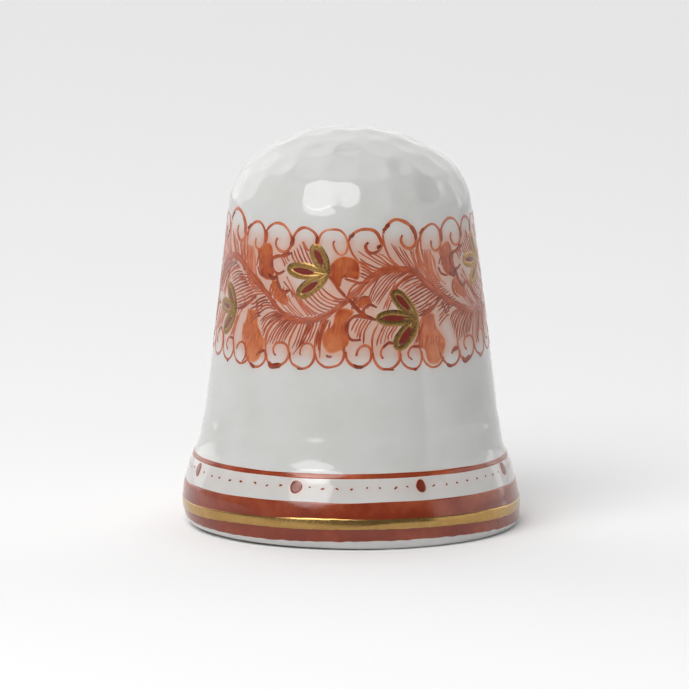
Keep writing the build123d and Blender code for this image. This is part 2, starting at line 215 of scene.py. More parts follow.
def facing_out(points, faces):
    """The faces wound so that each one faces away from the inside of the thimble."""
    a, b, c = (points[[face[k] for face in faces]] for k in range(3))
    normal = np.cross(b - a, c - a)
    inside = np.stack([np.zeros(len(a)), np.zeros(len(a)), np.minimum(a[:, 2], INSIDE_TOP)], 1)
    inward = ((a - inside) * normal).sum(1) < 0
    return [face[::-1] if turned_in else face for face, turned_in in zip(faces, inward)]


class Batch:
    """Collects many little patches into one mesh."""

    def __init__(self):
        self.points, self.faces, self.ink, self.total = [], [], [], 0

    def grid(self, points, ink, closed_u=False, closed_v=False):
        n, m = points.shape[:2]
        index = self.total + np.arange(n * m).reshape(n, m)
        rows = np.arange(n if closed_u else n - 1)
        cols = np.arange(m if closed_v else m - 1)
        i, j = np.meshgrid(rows, cols, indexing="ij")
        i2, j2 = (i + 1) % n, (j + 1) % m
        quads = np.stack([index[i, j], index[i2, j], index[i2, j2], index[i, j2]], -1).reshape(-1, 4)
        self.faces.extend(quads.tolist())
        self.points.append(points.reshape(-1, 3))
        self.ink.append(np.broadcast_to(ink, (n, m)).reshape(-1))
        self.total += n * m

    def fan(self, centre, centre_ink, ring):
        """Triangles from a new centre point to the ring of points with these numbers."""
        self.points.append(np.asarray(centre).reshape(1, 3))
        self.ink.append(np.array([centre_ink]))
        for one, two in zip(ring, [*ring[1:], ring[0]]):
            self.faces.append((self.total, int(one), int(two)))
        self.total += 1

    def piece(self, name, material, key="ink"):
        points = np.vstack(self.points)
        faces = facing_out(points, self.faces)
        return build(name, points, faces, {key: np.concatenate(self.ink)}, material)


def smooth_noise(rng, count, scale, amount):
    """Slowly varying random values along a line."""
    knots = max(3, int(count / scale) + 3)
    values = np.array([rng.uniform(-1, 1) for _ in range(knots)])
    at = np.linspace(0, knots - 1.001, count)
    k = at.astype(int)
    f = at - k
    f = f * f * (3 - 2 * f)
    return amount * (values[k] * (1 - f) + values[np.minimum(k + 1, knots - 1)] * f)


def mm_per_degree(height):
    return np.interp(height, SIDE_HEIGHTS, SIDE_RADII) * DEG


def to_flat(points, reference):
    """(azimuth, height) to millimetres on the unrolled wall near a reference height."""
    p = np.asarray(points, float)
    return np.stack([p[:, 0] * mm_per_degree(reference), p[:, 1]], 1)


def to_wall(flat, reference):
    return flat[:, 0] / mm_per_degree(reference), flat[:, 1]


# ------------------------------------------------------------------ brushwork
# cross-section of a brushed line: place across it, strength of colour, thickness of colour
RIB = np.array([-1.0, -0.80, -0.42, 0.0, 0.42, 0.80, 1.0])
RIB_INK = np.array([0.0, 1.15, 1.0, 0.825, 1.0, 1.15, 0.0])
RIB_LIFT = np.array([-0.30, 0.55, 0.92, 1.0, 0.92, 0.55, -0.30])
STEP = 0.085
TAPER_SHARE = 1 / 6
THIN_HALF = 0.05
POOL_REACH = 0.25
PATCH_STEP = 0.09
PATCH_HEART = 0.14
PATCH_EDGE_INK = 0.02
# places where the colour stains the glaze round it: azimuths, heights, weights
tint_marks = []


def stroke(batch, points, width, tone, rng, turn=0.0, lift=0.022, ends=(0.35, 0.35), pool=0.25, wobble=0.02,
           tint=1.0):
    """One brushed line through (azimuth, height) points, with a bead of colour along it."""
    reference = float(np.mean([p[1] for p in points]))
    path = catmull(to_flat(points, reference), STEP)
    n = len(path)
    run = np.gradient(path, axis=0)
    run /= np.linalg.norm(run, axis=1)[:, None] + 1e-9
    side = np.stack([-run[:, 1], run[:, 0]], 1)
    path = path + side * smooth_noise(rng, n, 9, wobble)[:, None]
    t = np.linspace(0, 1, n)
    opening = ends[0] + (1 - ends[0]) * t / TAPER_SHARE
    closing = ends[1] + (1 - ends[1]) * (1 - t) / TAPER_SHARE
    taper = np.minimum(1, np.minimum(opening, closing))
    half = width / 2 * taper * (1 + smooth_noise(rng, n, 7, 0.16))
    flat = path[:, None, :] + side[:, None, :] * (half[:, None] * RIB[None, :])[..., None]
    azimuth, height = to_wall(flat.reshape(-1, 2), reference)
    thick = lift * np.minimum(1, half / THIN_HALF)
    lifts = (thick[:, None] * RIB_LIFT[None, :]).reshape(-1)
    xyz = skin(azimuth + turn, height, lifts).reshape(n, len(RIB), 3)
    run_mm = n * STEP / POOL_REACH
    strength = tone + pool * (np.exp(-t * run_mm) + 0.8 * np.exp(-(1 - t) * run_mm))
    strength = strength + smooth_noise(rng, n, 8, 0.12)
    batch.grid(xyz, np.clip(strength[:, None] * RIB_INK[None, :], 0, 1))
    if tint:
        az, z = to_wall(path, reference)
        tint_marks.append((az + turn, z, tint * width * STEP * np.ones(n)))


def patch(batch, outline, tone, rng, turn=0.0, lift=0.01, rim=0.3, rings=7, shade=(0.0, 0.0), blot=0.15,
          tint=0.5):
    """A filled dab inside a closed (azimuth, height) outline."""
    outline = np.asarray(outline, float)
    reference = float(outline[:, 1].mean())
    flat = to_flat(outline, reference)
    flat = resample(np.vstack([flat, flat[:1]]), PATCH_STEP)[:-1]
    n = len(flat)
    middle = flat.mean(0)
    share = np.linspace(1.0, PATCH_HEART, rings)
    outer = share == 1.0
    levels = middle + (flat - middle)[None] * share[:, None, None]
    azimuth, height = to_wall(levels.reshape(-1, 2), reference)
    bead = np.where(outer, -0.3, 0.75 + 0.25 * (1 - share))
    xyz = skin(azimuth + turn, height, np.repeat(lift * bead, n)).reshape(rings, n, 3)
    edge = rim * np.exp(-(1 - share) / PATCH_HEART)
    streak = smooth_noise(rng, n, 5, blot)
    streak += (streak[0] - streak[-1]) * np.linspace(0, 1, n)
    tilt = ((levels - middle) @ np.array(shade)) * 0.5
    ink = np.clip((tone + edge)[:, None] + streak[None] * share[:, None] + tilt, PATCH_EDGE_INK, 1)
    start = batch.total
    batch.grid(xyz, np.where(outer[:, None], 0.0, ink), closed_v=True)
    centre_az, centre_z = to_wall(middle[None], reference)
    inner_ring = start + (rings - 1) * n + np.arange(n)
    batch.fan(skin(centre_az + turn, centre_z, lift), float(np.clip(tone, 0, 1)), inner_ring)
    if tint:
        az, z = to_wall(levels[::2].reshape(-1, 2), reference)
        tint_marks.append((az + turn, z, tint * 0.03 * np.ones(len(az))))


# ------------------------------------------------------------------ materials
def grey(value):
    return (value, value, value)


class Paint:
    """A new material with short ways to add nodes to it."""

    def __init__(self, name):
        self.material = bpy.data.materials.new(name)
        self.material.use_nodes = True
        self.tree = self.material.node_tree
        self.shader = self.tree.nodes["Principled BSDF"]

    def node(self, kind, **settings):
        node = self.tree.nodes.new("ShaderNode" + kind)
        for key, value in settings.items():
            setattr(node, key, value)
        return node

    def feed(self, socket, value):
        """Link an output to the socket, or set the socket to a number or a colour."""
        if isinstance(value, bpy.types.NodeSocket):
            self.tree.links.new(value, socket)
        else:
            socket.default_value = (*value, 1) if isinstance(value, tuple) else value

    def surface(self, **values):
        for key, value in values.items():
            self.feed(self.shader.inputs[key.replace("_", " ")], value)

    def noise(self, scale, detail, rough):
        texture = self.node("TexNoise")
        self.feed(texture.inputs["Vector"], self.node("TexCoord").outputs["Object"])
        self.feed(texture.inputs["Scale"], scale)
        self.feed(texture.inputs["Detail"], detail)
        self.feed(texture.inputs["Roughness"], rough)
        return texture.outputs["Fac"]

    def ramp(self, source, stops):
        node = self.node("ValToRGB")
        elements = node.color_ramp.elements
        while len(elements) < len(stops):
            elements.new(0.5)
        for element, (position, colour) in zip(elements, stops):
            element.position = position
            element.color = (*colour, 1)
        self.feed(node.inputs["Fac"], source)
        return node.outputs["Color"]

    def gloss(self, source, low, high):
        """Roughness that varies between two values with a noise."""
        self.surface(Roughness=self.ramp(source, [(0.3, grey(low)), (0.7, grey(high))]))

    def math(self, operation, a, b):
        node = self.node("Math", operation=operation)
        self.feed(node.inputs[0], a)
        self.feed(node.inputs[1], b)
        return node.outputs[0]

    def mix(self, factor, a, b, kind="MIX"):
        node = self.node("Mix", data_type="RGBA", blend_type=kind)
        for socket, value in ((node.inputs[0], factor), (node.inputs[6], a), (node.inputs[7], b)):
            self.feed(socket, value)
        return node.outputs[2]

    def attribute(self, name):
        return self.node("Attribute", attribute_name=name).outputs["Fac"]

    def bump(self, source, strength, distance):
        node = self.node("Bump")
        self.feed(node.inputs["Strength"], strength)
        self.feed(node.inputs["Distance"], distance)
        self.feed(node.inputs["Height"], source)
        self.surface(Normal=node.outputs["Normal"])


def black_specks(paint, colour):
    """Rare iron specks under the glaze."""
    cells = paint.node("TexVoronoi")
    paint.feed(cells.inputs["Scale"], 420)
    paint.feed(cells.inputs["Vector"], paint.node("TexCoord").outputs["Object"])
    spot = paint.ramp(cells.outputs["Distance"], [(0.0, grey(1)), (0.045, grey(0.6)), (0.07, grey(0))])
    parts = paint.node("SeparateColor")
    paint.feed(parts.inputs["Color"], cells.outputs["Color"])
    chosen = paint.math("GREATER_THAN", parts.outputs[0], 0.975)
    return paint.mix(paint.math("MULTIPLY", spot, chosen), colour, (0.13, 0.11, 0.10))


def glaze_material(name, tinted):
    """Clear glaze over white clay: cloudy white, slight orange peel, stained by the paint if tinted."""
    paint = Paint(name)
    cloud = paint.noise(scale=260, detail=4, rough=0.6)
    whites = [(0.30, (0.565, 0.565, 0.545)), (0.55, (0.60, 0.60, 0.585)), (0.75, (0.625, 0.622, 0.612))]
    colour = paint.ramp(cloud, whites)
    if tinted:
        stains = [(0.0, (1, 1, 1)), (0.45, (1.0, 0.86, 0.82)), (1.0, (0.97, 0.60, 0.49))]
        colour = paint.mix(1.0, colour, paint.ramp(paint.attribute("tint"), stains), "MULTIPLY")
        colour = black_specks(paint, colour)
    paint.surface(Base_Color=colour, IOR=1.52)
    paint.gloss(paint.noise(scale=900, detail=2, rough=0.5), 0.055, 0.105)
    paint.bump(paint.noise(scale=330, detail=2, rough=0.45), strength=0.10, distance=0.0002)
    return paint.material


def enamel_material(name, stops, grain=0.16):
    """Fired colour whose tone follows how much of it the brush left."""
    paint = Paint(name)
    loaded = paint.attribute("ink")
    cloud = paint.noise(scale=1500, detail=4, rough=0.6)
    wobble = paint.math("MULTIPLY", paint.math("SUBTRACT", cloud, 0.5), grain * 2)
    # no grain where the colour runs out
    present = paint.math("MINIMUM", paint.math("MULTIPLY", loaded, 3.0), 1.0)
    ink = paint.math("ADD", loaded, paint.math("MULTIPLY", wobble, present))
    paint.surface(Base_Color=paint.ramp(ink, stops), IOR=1.55)
    paint.gloss(paint.noise(scale=2600, detail=2, rough=0.5), 0.09, 0.20)
    paint.bump(cloud, strength=0.12, distance=0.00006)
    return paint.material


def gilt_material(name, colours, low, high):
    """Burnished gold, worn at the edges; low and high are the limits of its roughness."""
    paint = Paint(name)
    grains = paint.noise(scale=5200, detail=3, rough=0.65)
    patches = paint.noise(scale=900, detail=3, rough=0.6)
    both = paint.math("ADD", paint.math("MULTIPLY", grains, 0.6), paint.math("MULTIPLY", patches, 0.5))
    colour = paint.ramp(both, list(zip((0.38, 0.53, 0.70), colours)))
    worn = paint.ramp(paint.attribute("ink"), [(0.0, grey(0.35)), (0.35, grey(1.0))])
    paint.surface(Base_Color=paint.mix(1.0, colour, worn, "MULTIPLY"), Metallic=0.9)
    paint.gloss(grains, low, high)
    paint.bump(both, strength=0.10, distance=0.00003)
    return paint.material


def biscuit_material(name):
    """Bare fired clay, matt and gritty."""
    paint = Paint(name)
    clays = [(0.3, (0.46, 0.40, 0.33)), (0.5, (0.62, 0.58, 0.52)), (0.7, (0.72, 0.69, 0.64))]
    paint.surface(Base_Color=paint.ramp(paint.noise(scale=700, detail=5, rough=0.65), clays), Roughness=0.85)
    paint.bump(paint.noise(scale=3600, detail=3, rough=0.7), strength=0.5, distance=0.00008)
    return paint.material


# colours by how much paint there is, starting from the stained glaze beside it
PAPER = (0.56, 0.42, 0.38)
LINE_STOPS = [
    (0.0, PAPER), (0.30, (0.55, 0.165, 0.070)), (0.55, (0.39, 0.072, 0.022)), (0.80, (0.23, 0.034, 0.012)),
    (1.0, (0.115, 0.016, 0.008)),
]
WASH_STOPS = [
    (0.0, PAPER), (0.22, (0.58, 0.205, 0.085)), (0.50, (0.47, 0.115, 0.036)), (0.78, (0.35, 0.062, 0.018)),
    (1.0, (0.21, 0.032, 0.012)),
]
BAND_STOPS = [
    (0.0, PAPER), (0.25, (0.36, 0.080, 0.030)), (0.5, (0.225, 0.030, 0.008)), (0.75, (0.155, 0.018, 0.005)),
    (1.0, (0.09, 0.011, 0.005)),
]
HEART_STOPS = [(0.0, (0.17, 0.045, 0.028)), (0.4, (0.19, 0.024, 0.015)), (1.0, (0.09, 0.011, 0.009))]
BAND_GOLDS = [(0.36, 0.205, 0.066), (0.41, 0.245, 0.082), (0.48, 0.30, 0.108)]
# the petals' gold is darker than the band's gold: painted shade for the dark surroundings the petals mirror
SHADED_PETAL_GOLDS = [(0.25, 0.140, 0.044), (0.30, 0.172, 0.055), (0.38, 0.225, 0.078)]

glaze = glaze_material("clear_glaze", tinted=True)
glaze_inside = glaze_material("clear_glaze_inside", tinted=False)
line_red = enamel_material("iron_red_line", LINE_STOPS)
wash_orange = enamel_material("orange_wash", WASH_STOPS, grain=0.22)
band_red = enamel_material("iron_red_band", BAND_STOPS, grain=0.14)
heart_red = enamel_material("dark_red", HEART_STOPS)
gilding = gilt_material("gilding", BAND_GOLDS, 0.16, 0.24)
# gilding for the petals, darkened with painted shade
shaded_petal_gilding = gilt_material("shaded_petal_gilding", SHADED_PETAL_GOLDS, 0.24, 0.34)
biscuit = biscuit_material("biscuit")

# ------------------------------------------------------------------ painted frieze
# All points are (azimuth in degrees, height in mm), chosen for the first quarter. The others repeat it.
QUARTER = 90
STEM_MIDDLE, STEM_SWING = 16.82, 1.73
# how far the brush strays from the even wave, by azimuth
STEM_DRIFT = [
    (-75, 0.0), (-60, 0.35), (-50, 0.32), (-44, 0.48), (-38, 0.42), (-30, 0.10), (-22, 0.02), (-10, -0.10),
    (0, -0.05), (6, 0.18), (12, 0.24), (18, 0.06), (30, -0.10), (36, -0.38), (41, -0.48), (46, -0.40),
    (60, 0.0),
]


def stem_height(azimuth):
    drift = float(np.interp(azimuth, *zip(*STEM_DRIFT)))
    return STEM_MIDDLE + STEM_SWING * math.sin(4 * azimuth * DEG) + drift


# the curled hooks of the borders: points along the curl, width, tone
UPPER_HOOKS = [
    ([(-56.2, 20.3), (-54.6, 20.85), (-51.6, 21.21), (-48.2, 21.34), (-45.6, 21.16), (-43.9, 20.82),
      (-43.6, 20.3), (-44.2, 19.79), (-46.6, 19.55), (-48.8, 19.65), (-49.6, 19.95), (-49.5, 20.25)], 0.2,
      0.46),
    ([(-43.4, 20.65), (-41.6, 21.08), (-38.6, 21.36), (-35.5, 21.43), (-32.2, 21.29), (-29.6, 20.92),
      (-28.2, 20.45), (-28.4, 20.02), (-30.2, 19.66), (-33.0, 19.59), (-35.6, 19.77), (-36.8, 20.12),
      (-36.0, 20.47)], 0.21, 0.5),
    ([(-27.7, 20.45), (-26.2, 20.9), (-24.0, 21.21), (-21.5, 21.31), (-18.6, 21.16), (-16.4, 20.9),
      (-15.2, 20.55), (-15.6, 20.15), (-18.2, 19.89), (-20.6, 19.96), (-22.5, 20.35)], 0.22, 0.48),
    ([(-15.1, 20.45), (-13.6, 20.95), (-11.0, 21.21), (-8.0, 21.27), (-5.0, 21.21), (-2.5, 20.9),
      (-1.3, 20.4), (-1.7, 19.89), (-3.5, 19.61), (-5.6, 19.65), (-7.3, 19.95), (-8.0, 20.32),
      (-7.3, 20.51)], 0.17, 0.42),
    ([(-0.8, 20.55), (0.6, 20.9), (2.6, 21.12), (5.0, 21.27), (8.0, 21.29), (11.0, 21.19), (13.0, 20.9),
      (14.3, 20.4), (14.2, 20.12), (12.6, 19.81), (10.0, 19.69), (8.0, 19.79), (6.9, 20.05), (7.1, 20.28),
      (8.4, 20.38)], 0.23, 0.52),
    ([(15.4, 20.95), (16.6, 21.36), (18.6, 21.65), (21.6, 21.83), (25.0, 21.74), (28.5, 21.45),
      (31.0, 21.0), (32.0, 20.49), (31.2, 20.06), (28.5, 19.83), (26.0, 19.96), (24.4, 20.25),
      (24.0, 20.51), (24.9, 20.78)], 0.25, 0.5),
]
LOWER_HOOKS = [
    ([(-49.8, 12.65), (-48.8, 12.3), (-46.8, 11.95), (-44.0, 11.75), (-41.4, 11.81), (-39.4, 12.05),
      (-38.4, 12.35), (-38.4, 12.65), (-39.2, 12.89), (-41.0, 12.85), (-42.5, 12.67), (-42.9, 12.5)], 0.18,
      0.52),
    ([(-38.0, 12.75), (-37.2, 12.3), (-35.4, 12.01), (-32.6, 11.97), (-29.5, 12.15), (-27.6, 12.46),
      (-26.8, 12.85), (-27.3, 13.26), (-28.6, 13.5), (-31.0, 13.55), (-33.2, 13.44), (-34.3, 13.14),
      (-34.0, 12.85), (-32.8, 12.67)], 0.2, 0.52),
    ([(-26.4, 12.95), (-26.0, 12.55), (-24.8, 12.25), (-22.6, 12.05), (-20.0, 11.95), (-17.5, 12.1),
      (-15.8, 12.46), (-15.2, 12.85), (-15.6, 13.28), (-16.7, 13.55), (-18.1, 13.66), (-20.0, 13.55),
      (-21.2, 13.28), (-21.7, 12.97), (-21.2, 12.81)], 0.19, 0.54),
    ([(-15.0, 12.95), (-13.8, 12.51), (-12.0, 12.25), (-10.0, 12.12), (-7.0, 12.17), (-4.6, 12.35),
      (-3.0, 12.7), (-2.6, 13.06), (-3.2, 13.34)], 0.19, 0.54),
    ([(-2.2, 13.16), (-1.6, 12.7), (-0.4, 12.41), (1.6, 12.2), (4.0, 12.13), (6.0, 12.25), (8.0, 12.55),
      (8.8, 12.95), (8.4, 13.31), (7.0, 13.54), (5.0, 13.55), (3.4, 13.36), (2.6, 13.06), (2.5, 12.87)],
      0.21, 0.54),
    ([(9.3, 13.06), (9.8, 12.65), (11.0, 12.27), (12.8, 12.01), (15.0, 11.95), (17.2, 12.0), (19.4, 12.2),
      (20.8, 12.51), (20.9, 12.95), (20.0, 13.36), (18.4, 13.59), (16.4, 13.69), (14.6, 13.55),
      (13.2, 13.26), (12.8, 12.9), (13.7, 12.65)], 0.2, 0.48),
    ([(21.2, 12.95), (21.4, 12.55), (22.6, 12.2), (24.6, 11.95), (27.4, 11.85), (29.6, 12.05),
      (30.8, 12.46), (30.9, 12.85), (30.0, 13.21), (28.0, 13.36), (26.0, 13.26), (24.9, 13.01),
      (24.9, 12.71), (26.5, 12.46)], 0.17, 0.52),
    ([(31.0, 12.95), (31.8, 12.46), (33.5, 12.05), (36.0, 11.85), (38.8, 11.89), (40.8, 12.1),
      (42.2, 12.41)], 0.17, 0.48),
]
# curl that closes the last lower scroll wherever no leaf covers it
LAST_CURL = [(38.6, 11.95), (40.2, 12.35), (40.2, 12.75), (39.0, 13.11), (37.0, 13.23), (35.0, 13.11),
    (33.9, 12.85), (33.8, 12.67)]
# short loaded touches where the brush was set down or pressed: points, width, tone
ACCENTS = [
    ([(15.5, 21.12), (17.0, 21.39), (18.8, 21.62)], 0.3, 0.86),
    ([(-0.4, 20.72), (0.7, 20.9), (1.9, 21.04)], 0.27, 0.84),
    ([(34.2, 20.72), (35.4, 20.94), (36.8, 21.1)], 0.26, 0.8),
    ([(14.2, 20.18), (13.2, 20.06), (12.2, 20.12)], 0.34, 0.9),
    ([(13.4, 19.92), (11.6, 19.73), (9.6, 19.69), (7.8, 19.83), (6.95, 20.06), (7.2, 20.28), (8.4, 20.37)],
      0.25, 0.82),
    ([(29.0, 21.41), (30.6, 21.12), (31.6, 20.74), (31.7, 20.35)], 0.3, 0.72),
    ([(-27.9, 20.7), (-27.8, 20.35), (-28.3, 20.0)], 0.34, 0.8),
    ([(-15.5, 20.8), (-15.5, 20.49), (-16.1, 20.25)], 0.3, 0.82),
    ([(-46.6, 11.93), (-45.2, 11.78), (-43.6, 11.72)], 0.24, 0.8),
    ([(-36.4, 12.19), (-35.0, 11.93), (-32.4, 11.99), (-30.0, 12.11)], 0.38, 0.74),
    ([(-22.6, 11.95), (-21.2, 11.92), (-19.8, 11.95)], 0.2, 0.8),
    ([(1.0, 12.27), (2.8, 12.15), (5.2, 12.13)], 0.26, 0.86),
    ([(13.4, 11.97), (15.6, 11.93), (18.2, 11.9)], 0.17, 0.78),
    ([(26.8, 11.85), (27.6, 11.8), (28.4, 11.85)], 0.24, 0.84),
    ([(18.2, 13.61), (16.6, 13.7), (15.0, 13.59), (13.6, 13.34)], 0.24, 0.82),
    ([(30.8, 13.26), (29.0, 13.34), (27.0, 13.32)], 0.22, 0.8),
    ([(-38.8, 12.89), (-40.6, 12.83), (-42.2, 12.69)], 0.22, 0.84),
    ([(-10.2, 12.91), (-9.0, 12.8), (-7.8, 12.85)], 0.2, 0.84),
    ([(-33.0, 19.32), (-30.6, 19.49), (-29.2, 19.65)], 0.22, 0.74),
    ([(-42.9, 20.9), (-42.8, 20.49), (-43.1, 20.0)], 0.3, 0.66),
]
# lines that lead from the hooks to the stem
LEADERS_UP = [
    [(-55.8, 20.4), (-55.8, 19.79), (-54.6, 18.99), (-51.6, 18.19), (-47.0, 17.49)],
    [(-57.8, 20.4), (-58.0, 19.79), (-56.6, 19.09), (-53.0, 18.39)],
    [(-14.8, 20.49), (-15.0, 20.1), (-14.6, 19.69)],
    [(-1.0, 20.6), (-0.2, 20.1), (1.6, 19.49), (5.0, 18.94), (9.5, 18.58), (15.0, 18.47), (21.0, 18.58)],
    [(15.3, 20.9), (15.6, 20.3), (17.2, 19.59), (20.0, 18.99), (24.0, 18.58), (27.0, 18.44)],
    [(32.0, 20.49), (31.9, 19.79), (33.0, 18.99), (35.4, 18.09), (38.6, 17.28)],
    [(34.2, 20.6), (32.9, 20.2), (32.8, 19.49), (34.4, 18.58), (37.6, 17.58), (41.4, 16.88)],
]
LEADERS_DOWN = [
    [(-49.8, 12.65), (-50.4, 13.16), (-49.2, 13.76)],
    [(-38.2, 12.65), (-38.6, 13.55), (-37.0, 14.37), (-33.0, 14.97), (-27.0, 15.23)],
    [(-26.6, 12.75), (-26.8, 13.55), (-25.4, 14.27), (-22.6, 15.07)],
    [(-15.2, 12.85), (-15.2, 13.76), (-14.0, 14.56), (-11.4, 15.22), (-8.4, 15.62)],
    [(-2.4, 13.16), (-2.8, 13.46), (-2.2, 13.76)],
    [(9.2, 12.95), (9.0, 13.66), (9.8, 14.37), (11.8, 14.97)],
    [(21.2, 12.75), (20.9, 13.16), (19.6, 13.46)],
    [(31.0, 12.85), (30.2, 13.36), (31.4, 14.27), (34.4, 15.27), (38.0, 15.87)],
]
# side shoots of the stem: points, width, tone
SPRIGS = [
    ([(-1.2, 16.67), (-5.0, 17.28), (-8.6, 17.98), (-10.6, 18.29)], 0.22, 0.62),
    ([(-1.2, 16.72), (2.0, 16.12), (5.6, 15.57), (11.0, 15.22)], 0.3, 0.78),
    ([(44.0, 16.48), (40.0, 15.97), (36.0, 15.57), (31.0, 15.32)], 0.26, 0.72),
    ([(-27.6, 19.59), (-31.0, 19.35), (-35.5, 19.24), (-38.2, 18.99), (-37.6, 18.44), (-34.5, 18.09),
      (-31.0, 18.34)], 0.24, 0.72),
    ([(-35.4, 18.14), (-34.3, 17.58), (-32.6, 17.13), (-30.4, 16.93), (-27.9, 17.08)], 0.26, 0.8),
    ([(-1.4, 16.67), (-0.2, 17.28), (2.6, 17.68), (7.6, 17.73)], 0.16, 0.62),
    ([(7.8, 17.73), (3.6, 17.71), (0.6, 17.88), (-2.6, 18.0)], 0.2, 0.72),
    ([(10.4, 15.27), (6.0, 15.45), (1.6, 15.49), (-1.2, 15.07), (-1.6, 14.47), (0.2, 13.98), (4.4, 13.94)],
      0.26, 0.74),
    ([(11.6, 16.07), (8.6, 16.23), (6.2, 16.07), (5.6, 15.72), (8.0, 15.42)], 0.22, 0.72),
    ([(2.0, 16.33), (4.0, 16.67), (6.6, 16.8), (8.8, 16.48), (9.2, 16.18)], 0.18, 0.66),
    ([(-37.4, 17.38), (-38.4, 16.88), (-37.0, 16.38), (-34.4, 16.18)], 0.2, 0.62),
    ([(-39.6, 17.98), (-37.4, 17.73), (-35.0, 17.88)], 0.34, 0.8),
    ([(-46.5, 18.39), (-44.5, 17.93), (-41.0, 17.73)], 0.2, 0.66),
    ([(-7.4, 16.57), (-4.0, 16.48), (-1.5, 16.62)], 0.18, 0.6),
]
